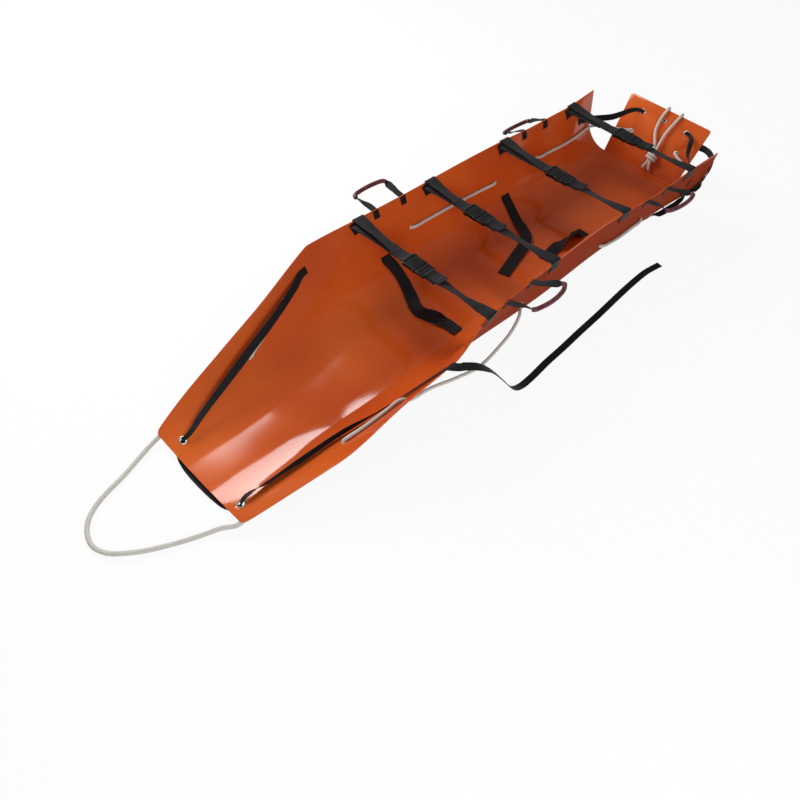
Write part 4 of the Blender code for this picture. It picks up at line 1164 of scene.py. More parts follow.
@dataclass
class HeadFlap:
    """The flap that closes the head end, and the bent strip of sheet at its crease."""

    crease_half: float = CURLS[-1].floor - 0.002
    top_half: float = 0.188
    corner: float = 0.011
    gap: float = 0.0023
    columns: int = 34

    def plate(self) -> None:
        """Make the flap's plate with its rounded corners and holes."""
        build = slab([
            (self.gap, -self.crease_half), (self.gap, self.crease_half), (LAY.flap_length, self.top_half),
            (LAY.flap_length, -self.top_half),
        ], FORM.thickness / 2)
        rounded(build, [
            edge for edge in build.edges
            if abs(edge.verts[0].co.z - edge.verts[1].co.z) > FORM.thickness / 2 and edge.verts[0].co.x > self.gap * 2
        ], self.corner, 6)
        bmesh.ops.recalc_face_normals(build, faces=build.faces)
        bmesh.ops.transform(build, verts=build.verts, matrix=FLAP_FRAME)
        piece = dressed("head_flap_plate", build, SHEET_FINISH)
        tool = bmesh.new()
        for way in (1, -1):
            for a, y in (LAY.flap_strap_hole, LAY.flap_rope_hole):
                slot_cutter(tool, FLAP_FRAME @ Matrix.Translation((a, way * y, 0)), LAY.flap_hole, LAY.flap_hole)
        a, y = LAY.flap_middle_hole
        slot_cutter(tool, FLAP_FRAME @ Matrix.Translation((a, y, 0)), LAY.middle_hole, LAY.middle_hole)
        carved(piece, tool)
        report(piece, "head_flap", "head_flap")

    def crease(self) -> None:
        """Make the strip of sheet at the flap's crease, curved from the sheet onto the flap."""
        reach = 0.010
        profile = [CREASE + Vector((-reach, 0, 0)), CREASE + Vector((-reach / 2, 0, 0))]
        profile += [flap_point(reach / 2, 0.0, 0.0), flap_point(reach, 0.0, 0.0)]
        line = smooth_line(profile, 0.0015)
        half = self.crease_half - 0.002

        def place(i: int, j: int) -> Vector:
            """Point of a row and column."""
            return line[i] + Vector((0, (2 * j / self.columns - 1) * half, 0))

        def mark(i: int, j: int) -> Spot:
            """UV of a row and column."""
            return i * 0.0015, j / self.columns

        piece = dressed("crease_strip", bent_grid(len(line), self.columns + 1, place, mark), SHEET_FINISH)
        thicken(piece, FORM.thickness - 0.0003)
        keep_modifiers(piece)
        bends(piece, CREASE + Vector((-0.004, 0, 0)), flap_point(0.004, 0.0, 0.0))

    def build(self) -> None:
        """Make the flap and its crease."""
        self.plate()
        self.crease()


# Eyelets


@dataclass
class Eyelet:
    """A rolled metal ring through the sheet."""

    name: str
    matrix: Matrix
    body: str
    bore: float = 0.0068
    sleeve: float = 0.0078
    rim: float = 0.0112
    nodes: tuple[str, ...] = ()

    def build(self) -> None:
        """Spin the ring's section and set it in its hole."""
        face = FORM.thickness / 2 + 0.0002
        crown = face + 0.0015
        half = [
            (self.bore, 0.0), (self.bore, face), (self.bore + 0.0005, crown - 0.0004), (self.bore + 0.0016, crown),
            (self.rim - 0.0022, crown - 0.0002), (self.rim - 0.0006, crown - 0.0008), (self.rim, face + 0.0001),
            (self.rim - 0.0003, face), (self.sleeve, face),
        ]
        profile = half + [(radius, -height) for radius, height in reversed(half[1:])]
        build = bmesh.new()
        verts = [build.verts.new((radius, 0.0, height)) for radius, height in profile]
        edges = [build.edges.new(pair) for pair in zip(verts, verts[1:] + verts[:1])]
        bmesh.ops.spin(
            build, geom=[*verts, *edges], cent=(0, 0, 0), axis=(0, 0, 1), dvec=(0, 0, 0), angle=math.tau, steps=30,
            use_merge=True, use_duplicate=False,
        )
        bmesh.ops.remove_doubles(build, verts=build.verts, dist=0.00001)
        bmesh.ops.recalc_face_normals(build, faces=build.faces)
        bmesh.ops.transform(build, verts=build.verts, matrix=self.matrix)
        report(dressed(self.name, build, EYELET_FINISH, 50.0), self.body, *self.nodes)


def build_eyelets() -> None:
    """Set every eyelet of the sheet and of the flap."""
    for (u, s), word in zip(LAY.foot_grommets, ("far", "near")):
        Eyelet(
            f"foot_eyelet_{word}", FORM.place(u, s), "root", 0.0104, 0.0118, 0.0142, (f"foot_grommet_{word}",),
        ).build()
    for side in Side:
        for (a, y), word in ((LAY.flap_strap_hole, "strap"), (LAY.flap_rope_hole, "rope")):
            spot = FLAP_FRAME @ Matrix.Translation((a, side.value * y, 0))
            Eyelet(f"flap_{word}_eyelet_{side.word}", spot, "head_flap").build()
    a, y = LAY.flap_middle_hole
    spot = FLAP_FRAME @ Matrix.Translation((a, y, 0))
    Eyelet("flap_middle_eyelet", spot, "head_flap", bore=0.0044, sleeve=0.0056, rim=0.0092).build()


# Buckles and cross straps


@dataclass(frozen=True)
class BuckleSizes:
    """Sizes of the side-release buckle."""

    width: float = 0.062
    length: float = 0.058
    height: float = 0.013
    waist: float = 0.003
    mouth_width: float = 0.046
    mouth_height: float = 0.008
    mouth_depth: float = 0.034
    bar: float = 0.004
    window: float = LAY.strap_width + 0.003
    frame_width: float = 0.056
    frame_length: float = 0.040
    frame_height: float = 0.010
    tongue_width: float = 0.009
    tongue_length: float = 0.026
    prong_height: float = 0.006
    prong_pivot: float = 0.0145
    frame_bar: float = 0.020
    strap_drop: float = -0.0002
    tail: float = 0.060


BUCKLE = BuckleSizes()
Block = tuple[Point, Point]


def block(build: Build, low: Point, high: Point) -> list[bmesh.types.BMVert]:
    """Add a block between two corners."""
    a, b = Vector(low), Vector(high)
    matrix = Matrix.Translation((a + b) / 2) @ Matrix.Diagonal((*(b - a), 1.0))
    return bmesh.ops.create_cube(build, size=1.0, matrix=matrix)["verts"]


def moulded(
    outline: Sequence[Spot], half: float, edge: float, cuts: Sequence[Block] = (),
) -> Build:
    """Make a moulded plate from an outline, with soft edges and openings.

    Args:
        outline: Corners in x and y.
        half: Half of its height.
        edge: Radius of its edges.
        cuts: Blocks that are taken out of it.

    Returns:
        The mesh at its own origin.
    """
    build = slab(outline, half)
    bmesh.ops.recalc_face_normals(build, faces=build.faces)
    rims = [rim for rim in build.edges if abs(rim.verts[0].co.z - rim.verts[1].co.z) < half]
    rounded(build, rims, edge, 3)
    thing = as_object("moulding", build)
    tools = [bmesh.new() for _ in cuts]
    for tool, (low, high) in zip(tools, cuts):
        block(tool, low, high)
    cut_out(thing, tools, 0.0003, 1, 50.0)
    build = bmesh.new()
    build.from_mesh(thing.data)
    bpy.data.meshes.remove(thing.data)
    return build


@dataclass
class CrossStrap:
    """One cross strap with its buckle, tabs and stitching."""

    index: int
    drift: float = 0.011
    leans: tuple[Spot, ...] = ((24.0, 34.0), (20.0, 25.0), (16.0, 22.0), (12.0, 18.0))

    @property
    def number(self) -> int:
        """Number used in names."""
        return self.index + 1

    @property
    def mouth(self) -> Vector:
        """Middle of the buckle's mouth plane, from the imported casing."""
        low, high = (Vector(corner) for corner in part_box(f"buckle_female_{self.number}"))
        return Vector(((low.x + high.x) / 2, low.y, (low.z + high.z) / 2)) - SHIFT

    def strap(self, side: Side) -> Tape:
        """Return the webbing from its tab over the sheet's edge to its buckle half."""
        u = LAY.strap_at[self.index]
        way = side.value
        reach = BUCKLE.length - BUCKLE.bar / 2 if side is Side.FAR else -BUCKLE.frame_bar
        bar = self.mouth + Vector((0, reach, 0))
        drift = self.drift if side is Side.FAR else 0.0
        stations = edge_stations(u, side, LAY.strap_width, LAY.strap_slot, FORM.body_half - 0.003, drift)
        along, across, normal = FORM.axes(u + drift, way * FORM.body_half)
        rim = FORM.point(u + drift, way * FORM.body_half)
        loop = self.bar_loop(way, bar)
        pull = loop[0].point - rim
        last = math.atan2(pull.dot(normal), pull.dot(way * across))
        for k in range(7):
            turn = last * k / 6
            offset = way * across * math.sin(turn) - normal * math.cos(turn)
            lift = LAY.on_sheet + 0.0012 * math.sin(turn)
            stations.append(Station(rim + lift * offset, along, LAY.strap_width))
        start = stations[-1].point
        lean = math.radians(self.leans[self.index][0 if side is Side.FAR else 1])
        for share in (0.15, 0.3, 0.45, 0.6, 0.75):
            sag = Vector((0, 0, -0.0035 * math.sin(math.pi * share)))
            turned = Matrix.Rotation(lean * math.sin(math.pi * share) ** 2, 3, "Y")
            side_way = turned @ along.lerp(Vector((1, 0, 0)), share)
            stations.append(Station(start.lerp(loop[0].point, share) + sag, side_way, LAY.strap_width))
        return Tape(f"cross_webbing_{side.word}_{self.number}", stations + loop, WIDE_WEB, step=0.003)

    def under_layer(self) -> Tape:
        """Return the layer that leaves the far wall's inner face and joins the strap below."""
        u, top = LAY.strap_at[self.index], FORM.body_half
        bar = self.mouth + Vector((0, BUCKLE.length - BUCKLE.bar / 2 + 0.066, BUCKLE.strap_drop - 0.0075))
        along = FORM.axes(u - self.drift, top)[0]
        start = FORM.laid(u - self.drift, top - 0.012, LAY.on_sheet + 0.0045)
        stations = [Station(start, along, LAY.strap_width - 0.003)]
        for share, extra in ((0.1, 0.0012), (0.3, -0.001), (0.5, -0.004), (0.75, -0.004), (1.0, 0.0)):
            lean = math.radians(self.leans[self.index][0])
            turned = Matrix.Rotation(lean * math.sin(math.pi * share * 0.8) ** 2, 3, "Y")
            point = start.lerp(bar, share) + Vector((0, 0, extra))
            stations.append(Station(point, turned @ Vector((1, 0, 0)), LAY.strap_width - 0.003))
        return Tape(f"strap_layer_{self.number}", stations, WIDE_WEB, step=0.003)

    def free_end(self) -> Tape:
        """Return the adjuster's free end, which lies on the near strap."""
        high = LAY.web + BUCKLE.strap_drop + 0.0006
        path = [
            (-0.0265, high - 0.0018), (-0.0300, high), (-0.0335, high + 0.0022),
            (-0.0385, BUCKLE.frame_height / 2 + 0.0018), (-0.0440, high + 0.0028),
            (-0.0520, high + 0.0012), (-0.0680, high + 0.0020), (-0.0860, high + 0.0052),
            (-0.0990, high + 0.0062),
        ]
        return Tape(
            f"strap_free_end_{self.number}",
            [Station(self.mouth + Vector((0.0008, y, z)), Vector((1, 0, 0)), LAY.strap_width - 0.002) for y, z in path],
            WIDE_WEB, step=0.0025,
        )

    def bar_loop(self, away: int, bar: Vector) -> list[Station]:
        """Stations of the strap's end round a buckle bar and back along itself."""
        radius = BUCKLE.bar / 2 * math.sqrt(2) + LAY.web / 2 + LAY.run
        drop = BUCKLE.strap_drop
        lower = drop - LAY.web - 0.0005
        path = [(0.013, drop)]
        for step in range(7):
            turn = math.pi / 2 + step * math.pi / 6
            path.append((radius * math.cos(turn), radius * math.sin(turn)))
        path += [(0.013, lower), (0.030, lower), (BUCKLE.tail, lower)]
        return [Station(bar + Vector((0, away * y, z)), Vector((1, 0, 0)), LAY.strap_width) for y, z in path]

    def sew(self, tape: Tape, body: str) -> None:
        """Sew the strap's tab and its end at the buckle."""
        threads = Stitching(f"{tape.name}_threads")
        lift = tape.thickness / 2 + threads.thread * 0.3
        half = LAY.strap_width / 2 - 0.005
        loop_start = tape.length - BUCKLE.tail * 2 - 0.012
        threads.box(tape, 0.006, 0.034, half, -lift)
        if body == "root":
            threads.box(tape, loop_start + 0.016, loop_start + 0.046, half, lift)
            threads.bars(tape, loop_start + 0.052, half, lift)
            threads.bars(tape, loop_start - 0.002, half, lift)
        report(threads.finish(), "root")

    def casing(self) -> Build:
        """Return the hollow half: casing, mouth, windows, thumb recess and bar."""
        size = BUCKLE
        half, corner, tall = size.width / 2, 0.006, size.height
        waist = [
            (half - size.waist * math.sin(math.pi * k / 12), corner + (size.length - 3 * corner) * k / 12)
            for k in range(13)
        ]
        right = [(half - corner, 0.0), (half - corner * 0.3, corner * 0.3), *waist]
        right += [
            (half, size.length - corner), (half - corner * 0.3, size.length - corner * 0.3),
            (half - corner, size.length),
        ]
        outline = right + [(-x, y) for x, y in reversed(right)]
        window, bar_inner = size.window / 2, size.length - size.bar
        cuts = [
            (
                (-size.mouth_width / 2, -0.01, -size.mouth_height / 2),
                (size.mouth_width / 2, size.mouth_depth, size.mouth_height / 2),
            ),
            ((-size.width, 0.012, -size.mouth_height / 2), (size.width, 0.028, size.mouth_height / 2)),
            ((-window, bar_inner - 0.0050, -tall), (window, bar_inner, tall)),
            ((-window, bar_inner - 0.001, size.bar / 2), (window, size.length + 0.01, tall)),
            ((-window, bar_inner - 0.001, -tall), (window, size.length + 0.01, -size.bar / 2)),
        ]
        for way in (1, -1):
            low, high = sorted((way * (tall / 2 - 0.0007), way * tall))
            cuts.append(((-0.017, 0.006, low), (0.017, 0.031, high)))
        build = moulded(outline, tall / 2, 0.0018, cuts)
        for way in (1, -1):
            for k in range(4):
                y = 0.0095 + k * 0.0058
                z = way * (tall / 2 - 0.0007)
                low, high = sorted((z, z + way * 0.0007))
                verts = block(build, (-0.0135, y, low - 0.0003), (0.0135, y + 0.0022, high))
                ends = [edge for vert in verts for edge in vert.link_edges]
                rounded(build, list(set(ends)), 0.0003, 1)
        return build

    def frame_part(self) -> Build:
        """Return the half that slides in: flange, guide tongue and ladder frame."""
        size = BUCKLE
        half, tongue, gap, corner = size.frame_width / 2, size.tongue_width / 2, 0.0006, 0.004
        right = [
            (half - corner, -size.frame_length), (half - corner * 0.3, corner * 0.3 - size.frame_length),
            (half, corner - size.frame_length), (half, -gap - 0.001), (half - 0.001, -gap), (tongue + 0.002, -gap),
            (tongue, 0.002), (tongue, size.tongue_length - 0.002), (tongue - 0.002, size.tongue_length),
        ]
        outline = right + [(-x, y) for x, y in reversed(right)]
        window, middle = size.window / 2, size.frame_bar + size.bar / 2
        tall, outer = size.frame_height, size.frame_length - size.bar
        top = 0.001 - size.frame_bar + size.bar / 2
        flat = size.prong_height / 2
        under = size.strap_drop + LAY.web / 2 + 0.0005
        cuts = [
            (
                (-window, size.bar - size.frame_bar - size.bar / 2, -tall),
                (window, size.bar / 2 + 0.0042 - size.frame_bar, tall),
            ),
            ((-window, -outer, -tall), (window, -middle, tall)),
            ((-window, -middle - 0.001, size.bar / 2), (window, top, tall)),
            ((-window, -middle - 0.001, -tall), (window, top, -size.bar / 2)),
            ((-window, -size.frame_length - 0.01, -tall), (window, 0.001 - outer, under)),
            ((-tongue * 2, -0.0001, flat), (tongue * 2, size.tongue_length * 2, tall)),
            ((-tongue * 2, -0.0001, -tall), (tongue * 2, size.tongue_length * 2, -flat)),
        ]
        return moulded(outline, size.frame_height / 2, 0.0012, cuts)

    def prong(self, way: int) -> Build:
        """Return one sprung arm with its barb."""
        reach = BUCKLE.mouth_width / 2 - LAY.run - BUCKLE.prong_pivot
        right = [
            (-0.0025, 0.0), (0.0025, 0.0), (0.0040, 0.0170), (reach - 0.0006, 0.0180), (reach, 0.0187), (reach, 0.0235),
            (reach - 0.0008, 0.0252), (reach - 0.0030, 0.0288), (reach - 0.0042, 0.0290), (reach - 0.0060, 0.0288),
            (-0.0005, 0.0170),
        ]
        outline = [(way * x, y) for x, y in right]
        return moulded(outline, BUCKLE.prong_height / 2 + 0.0004, 0.0007)

    def build(self) -> None:
        """Make the strap, its buckle and its stitching."""
        place = Matrix.Translation(self.mouth)
        male = f"buckle_male_{self.number}"
        female = f"buckle_female_{self.number}"
        for name, build, body, node in (
            (f"buckle_casing_{self.number}", self.casing(), "root", female),
            (f"buckle_ladder_{self.number}", self.frame_part(), male, male),
        ):
            bmesh.ops.transform(build, verts=build.verts, matrix=place)
            report(dressed(name, build, BUCKLE_FINISH, 32.0), body, node)
        for letter, way in (("a", 1), ("b", -1)):
            build = self.prong(way)
            pivot = place @ Matrix.Translation((way * BUCKLE.prong_pivot, 0.0, 0.0))
            bmesh.ops.transform(build, verts=build.verts, matrix=pivot)
            node = f"buckle_prong_{self.number}{letter}"
            report(dressed(f"buckle_arm_{self.number}{letter}", build, BUCKLE_FINISH, 32.0), node, node)
        for side in Side:
            tape = self.strap(side)
            piece = tape.build()
            node = f"strap_{side.word}_{self.number}"
            if side is Side.FAR:
                report(piece, "root", node)
                self.sew(tape, "root")
                report(self.under_layer().build(), "root")
            else:
                rim = FORM.point(LAY.strap_at[self.index], -FORM.body_half)
                near_y = self.mouth.y - BUCKLE.frame_bar - 0.065
                bends(piece, rim + Vector((0, 0.006, 0)), Vector((rim.x, near_y, rim.z)), node, body=male)
                self.sew(tape, male)
                free = self.free_end()
                report(free.build(), male)
                sewn(free, male, (-0.006, 1), (-0.018, 1))


# Handles


@dataclass
class Handle:
    """A carrying handle: webbing legs, a bent grip tube and its two anchor loops."""

    index: int
    side: Side
    reach: float = 0.090
    foot: float = 0.012
    leans: tuple[Spot, ...] = ((6.0, 13.0), (-30.0, 11.0))
    sways: tuple[Spot, ...] = ((0.0, 0.038), (0.0, 0.009))
    flares: tuple[Spot, ...] = ((0.010, 0.026), (0.010, 0.024))
    bows: tuple[Spot, ...] = ((0.002, 0.010), (0.004, 0.006))
    hose: float = 0.0076
    bore: float = 0.0060
    curl_out: float = 0.0030
    slim_turn: float = 34.0
    wide_turn: float = -30.0

    @property
    def word(self) -> str:
        """Side and number used in names."""
        return f"{self.side.word}_{self.index + 1}"

    def anchor(self, u: float, letter: str) -> Vector:
        """Make one anchor loop.

        Args:
            u: Place along the sheet.
            letter: Letter used in its name.

        Returns:
            The point that the handle's leg hangs on.
        """
        way = self.side.value
        stations = edge_stations(u, self.side, LAY.light_width, LAY.handle_slot, FORM.body_half - 0.002)
        along, across, normal = FORM.axes(u, way * FORM.body_half)
        rim = FORM.point(u, way * FORM.body_half)
        high = LAY.on_sheet
        for turn in (0.0, 0.25, 0.5):
            angle = turn * math.pi
            out = high + self.curl_out * (1 - math.cos(angle))
            shift = way * across * (self.curl_out * math.sin(angle) - self.curl_out)
            stations.append(Station(rim - normal * out + shift, along, LAY.light_width))
        end = stations[-1].point - normal * 0.001
        stations.append(Station(end, along, LAY.light_width))
        tape = Tape(f"handle_loop_{self.word}{letter}", stations, LIGHT_WEB, step=0.0025)
        report(tape.build(), "root", f"handle_anchor_{self.word}{letter}")
        sewn(tape, "root", (0.006, -1), (0.020, -1))
        return end - normal * 0.0011

    def matrix(self) -> Matrix:
        """Return the handle's own frame, x between its legs and y towards the grip."""
        legs = [LAY.handle_at[self.index] + way * LAY.handle_span / 2 for way in (-1, 1)]
        ends = [self.anchor(u, letter) for u, letter in zip(legs, "ab")]
        sideways = (ends[1] - ends[0]).normalized() * self.side.value
        lean = math.radians(self.leans[self.index][0 if self.side is Side.FAR else 1])
        out = Vector((0, self.side.value * math.cos(lean), math.sin(lean)))
        out = (out - sideways * out.dot(sideways)).normalized()
        return frame_of((sideways, out, sideways.cross(out)), (ends[0] + ends[1]) / 2)

    def loop(self) -> list[Vector]:
        """Return the line of the legs and the grip in the handle's own frame."""
        half, high = LAY.handle_span / 2, self.reach
        column = 0 if self.side is Side.FAR else 1
        sway, flare = self.sways[self.index][column] * self.side.value, self.flares[self.index][column]
        bow = self.bows[self.index][column]
        line = []
        for way in (-1, 1):
            out = flare if way == -self.side.value else 0.004
            leg = [
                (half, 0.0), (half, self.foot), (half + out * 0.35, 0.040), (half + out * 0.75, 0.066),
                (half + out, 0.0795), (half + out - 0.0025, 0.0865), (half + out - 0.0100, 0.0905),
                (half + out - 0.0300, high + 0.0030 + bow * 0.55),
            ]
            leg = [(way * x, y) for x, y in leg]
            line += leg + [(0.0, high + 0.0045 + bow)] if way < 0 else leg[::-1]
        return smooth_line(
            [(x + sway * max(0.0, y - self.foot) / (high - self.foot), y, 0.0) for x, y in line], 0.0025,
        )

    def webbing(self, place: Matrix) -> None:
        """Make the webbing of the legs, which turns on edge on its way into the grip."""
        line = self.loop()
        turned = place.to_3x3()
        stations = []
        for index, point in enumerate(line):
            ahead = direction(line, index)
            first_leg = index < len(line) / 2
            flat = Vector((-ahead.y, ahead.x, 0.0)) * (1 if first_leg else -1)
            slim_leg = first_leg == (self.side is Side.FAR)
            share = min(max((point.y - self.foot - 0.010) / 0.045, 0.0), 1.0)
            most = (self.slim_turn if slim_leg else self.wide_turn) * self.side.value
            turn = math.radians(most) * share * share * (3 - 2 * share)
            side = flat * math.cos(turn) + Vector((0, 0, 1)) * math.sin(turn)
            slim = min(max((point.y - 0.068) / 0.012, 0.0), 1.0)
            width = LAY.light_width * (1 - 0.60 * slim)
            stations.append(Station(place @ point, turned @ side, width))
        tape = Tape(f"handle_legs_{self.word}", stations, LIGHT_WEB)
        body = f"handle_{self.word}"
        report(tape.build(), body, f"handle_webbing_{self.word}")
        sewn(tape, body, *((at, face) for at in (0.004, -0.004, 0.010, -0.010) for face in (1, -1)))

    def grip(self, place: Matrix) -> None:
        """Make the hose that the webbing runs through, bent with it."""
        line = [point for point in self.loop() if point.y > 0.0765]
        around, lip = 24, 0.0012
        last = len(line) - 1
        outer = [(i, self.hose) for i in range(last + 1)]
        inner = [(i, self.bore) for i in range(last, -1, -3)]
        wall = [(0, self.hose - lip), *outer, (last, self.hose - lip), *inner]
        count = len(wall) + 1

        def place_at(i: int, j: int) -> Vector:
            """Point of a row and column."""
            at, radius = wall[i % len(wall)]
            ahead = direction(line, at)
            out = Vector((-ahead.y, ahead.x, 0.0))
            shift = lip * 0.6 * (-1 if at == 0 else 1) if at in (0, last) and radius < self.hose else 0.0
            angle = math.tau * j / around
            ring = out * math.cos(angle) + Vector((0, 0, 1)) * math.sin(angle)
            return place @ (line[at] + ahead * shift + ring * radius)

        def mark(i: int, j: int) -> Spot:
            """UV of a row and column."""
            return i / count, j / around

        build = bent_grid(count, around + 1, place_at, mark)
        bmesh.ops.remove_doubles(build, verts=build.verts, dist=0.00001)
        bmesh.ops.recalc_face_normals(build, faces=build.faces)
        report(dressed(f"grip_{self.word}", build, GRIP_FINISH), f"handle_{self.word}", f"handle_grip_{self.word}")

    def build(self) -> None:
        """Make the handle's pieces."""
        place = self.matrix()
        self.webbing(place)
        self.grip(place)


# Rope


@dataclass
class RopeLine:
    """Plaited rope along a line of points."""

    name: str
    points: Sequence[Vector]
    thickness: float = LAY.rope
    step: float = 0.0019
    around: int = 20
    strands: int = 4
    plait: float = 0.0125
    relief: float = 0.055
    path: list[Vector] = field(default_factory=list)

    def __post_init__(self) -> None:
        """Smooth the line."""
        self.path = smooth_line(self.points, self.step)

    def build(self) -> Piece:
        """Sweep the plaited section along the line and close its ends."""
        path = self.path
        last = len(path) - 1
        headings = [direction(path, i) for i in range(last + 1)]
        upright = UP if abs(headings[0].z) < 0.9 else Vector((1, 0, 0))
        across = headings[0].cross(upright).normalized()
        frames = []
        for heading in headings:
            across = (across - heading * across.dot(heading)).normalized()
            frames.append((across, heading.cross(across)))
        total = length_of(path)

        def place(i: int, j: int) -> Vector:
            """Point of a row and column."""
            first, second = frames[i]
            angle = math.tau * j / self.around
            run = math.pi * total * i / last / self.plait
            weave = abs(math.cos(self.strands * angle + run)) * abs(math.cos(self.strands * angle - run))
            radius = self.thickness / 2 * (1 - self.relief + self.relief * weave)
            ends = min(i, last - i)
            if ends < 2:
                radius *= (0.78, 0.95)[ends]
            return path[i] + radius * (first * math.cos(angle) + second * math.sin(angle))

        def mark(i: int, j: int) -> Spot:
            """UV of a row and column."""
            return total * i / last / self.plait, j / self.around

        build = bent_grid(last + 1, self.around + 1, place, mark)
        bmesh.ops.remove_doubles(build, verts=build.verts, dist=0.00001)
        rims = [edge for edge in build.edges if edge.is_boundary]
        bmesh.ops.holes_fill(build, edges=rims, sides=self.around)
        bmesh.ops.recalc_face_normals(build, faces=build.faces)
        return dressed(self.name, build, ROPE_FINISH, 70.0)


@dataclass
class Rigging:
    """The laced side ropes, the tow loop, the flap's ropes and their knot."""

    foot: Spot = (0.012, 0.203)
    head: Spot = (2.150, 0.305)
    cross_reach: float = 0.010
    near_slack: tuple[Point, ...] = (
        (0.640, -0.300, 0.165), (0.740, -0.318, 0.150), (0.840, -0.328, 0.136), (0.930, -0.322, 0.148),
        (1.010, -0.308, 0.160), (1.065, -0.288, 0.170),
    )
    tow_thickness: float = 0.0150
    rest: float = -FORM.thickness / 2 + 0.0150 / 2 + 0.0002
    flap_top: Spot = (0.012, -0.050)
    knot_up: float = 0.062
    knot_across: float = -0.033
    knot_turns: float = 1.6

    def tow_route(self) -> list[Point]:
        """Return the tow loop's route on the ground."""
        low = self.rest
        return [
            (-0.045, 0.196, 0.0075), (-0.100, 0.178, low), (-0.157, 0.159, low), (-0.215, 0.144, low),
            (-0.258, 0.128, low), (-0.300, 0.100, low), (-0.326, 0.060, low), (-0.333, 0.020, low),
            (-0.318, -0.020, low), (-0.270, -0.065, low), (-0.178, -0.119, low), (-0.100, -0.153, low),
            (-0.045, -0.174, 0.0075),
        ]

    def hole_pass(self, way: int, u: float, s: float, inwards: bool) -> list[Vector]:
        """Points of rope as it changes face through a hole."""
        sign = 1 if inwards else -1
        depth = (LAY.rope_in + LAY.rope_out) / 2
        return [
            FORM.laid(u + share * self.cross_reach, way * s, depth * math.sin(share * math.pi / 2) * sign)
            for share in (-0.5, 0.0, 0.5)
        ]

    def side_points(self, side: Side) -> list[Vector]:
        """Points of the rope laced along one wall, from the foot corner to the head notch."""
        way = side.value
        stops = [self.foot, *LAY.rope_holes, self.head]
        points: list[Vector] = []
        inside = False
        for index in range(len(stops) - 1):
            (u0, s0), (u1, s1) = stops[index], stops[index + 1]
            drift = (s1 - s0) / (u1 - u0)
            lead = self.cross_reach if index else 0.0
            trail = self.cross_reach if index < len(stops) - 2 else 0.0
            first, last = u0 + lead, u1 - trail
            count = max(2, math.ceil((last - first) / 0.055))
            height = LAY.rope_in if inside else -LAY.rope_out
            run = []
            for k in range(count + 1):
                u = first + (last - first) * k / count
                drop = 0.030 * math.sin(math.pi * k / count) if side is Side.NEAR and index == 4 else 0.0
                run.append(FORM.laid(u, way * (s0 + drift * (u - u0) - drop), height))
            if side is Side.NEAR and index == 2:
                run = [run[0], *(Vector(point) for point in self.near_slack), run[-1]]
            points += run
            if trail:
                points += self.hole_pass(way, u1, s1, not inside)
                inside = not inside
        return points

    def flap_strand(self, side: Side) -> list[Vector]:
        """Points of one strand: through the flap, up its back, over its top and down to the knot."""
        way = side.value
        top = self.flap_top[0] if side is Side.FAR else self.flap_top[1]
        back = -(LAY.rope_in + LAY.web + 0.0023)
        over = LAY.rope / 2 + FORM.thickness / 2 + 0.0012
        hang = 0.0030 + LAY.rope_in
        a, y = LAY.flap_rope_hole
        y *= way
        lift = LAY.rope_in + LAY.rope + 0.0016
        foot = self.knot_across + way * (LAY.rope / 2 + 0.0005)
        length = LAY.flap_length
        bow = 0.020 if side is Side.FAR else 0.013
        spots = [
            (a, y, 0.0075), (a, y, 0.0), (a + 0.004, y, -0.006), (a + 0.010, y, back),
            (a + 0.06, y * 0.75 + top * 0.25, back), (length - 0.020, top, back), (length, top, -over),
        ]
        spots += [
            (length + over * math.sin(turn), top, -over * math.cos(turn))
            for turn in (math.pi / 4, math.pi / 2, 3 * math.pi / 4)
        ]
        spots += [
            (length, top, over), (length - 0.020, top * 0.95 + foot * 0.05 + bow * 0.3, hang),
            (0.16, top * 0.5 + foot * 0.5 + bow, hang + 0.002), (self.knot_up + 0.035, foot + bow * 0.25, lift),
            (self.knot_up, foot, lift), (self.knot_up - 0.025, foot, lift), (0.012, foot + way * 0.010, hang + 0.004),
        ]
        return [flap_point(*spot) for spot in spots]

    def knot_points(self) -> list[Vector]:
        """Points of the turns that bind the two strands."""
        wide, deep = 1.5 * LAY.rope + 0.0026, LAY.rope + 0.0016
        lift = LAY.rope_in + LAY.rope + 0.0016
        count = round(self.knot_turns * 15)
        points = []
        for step in range(count + 1):
            share = step / count
            angle = math.tau * self.knot_turns * share + 0.4
            up = self.knot_up - self.knot_turns * (LAY.rope + 0.0009) * (share - 0.5)
            points.append(flap_point(up, self.knot_across + wide * math.cos(angle), lift + deep * math.sin(angle)))
        return points

    def build(self) -> None:
        walls = {}
        for side in Side:
            points = self.side_points(side)
            walls[side] = points
            report(RopeLine(f"laced_rope_{side.word}", points).build(), "root", f"side_rope_{side.word}")
        ends = []
        for side in Side:
            start = walls[side][0]
            away = (start - walls[side][1]).normalized()
            ends.append((start + LAY.run * away, start + 0.020 * away))
        spots = [ends[0][0], ends[0][1], *map(Vector, self.tow_route()), ends[1][1], ends[1][0]]
        loop = RopeLine("tow_loop", spots, self.tow_thickness, plait=0.0165)
        piece = loop.build()
        route = [point + SHIFT for point in loop.path[::3]]
        if loop.path[-1] != loop.path[::3][-1]:
            route.append(loop.path[-1] + SHIFT)
        tuple(route[0])
        round(length_of(route), 3)
        [tuple(point) for point in route]
        report(piece, "root", "tow_rope_loop")
        for side in Side:
            strand = RopeLine(f"flap_strand_{side.word}", self.flap_strand(side))
            report(strand.build(), "head_flap", f"flap_rope_{side.word}")
            self.notch(side, walls[side])
        knot = RopeLine("strand_knot", self.knot_points(), step=0.0016)
        report(knot.build(), "head_flap", "flap_knot")

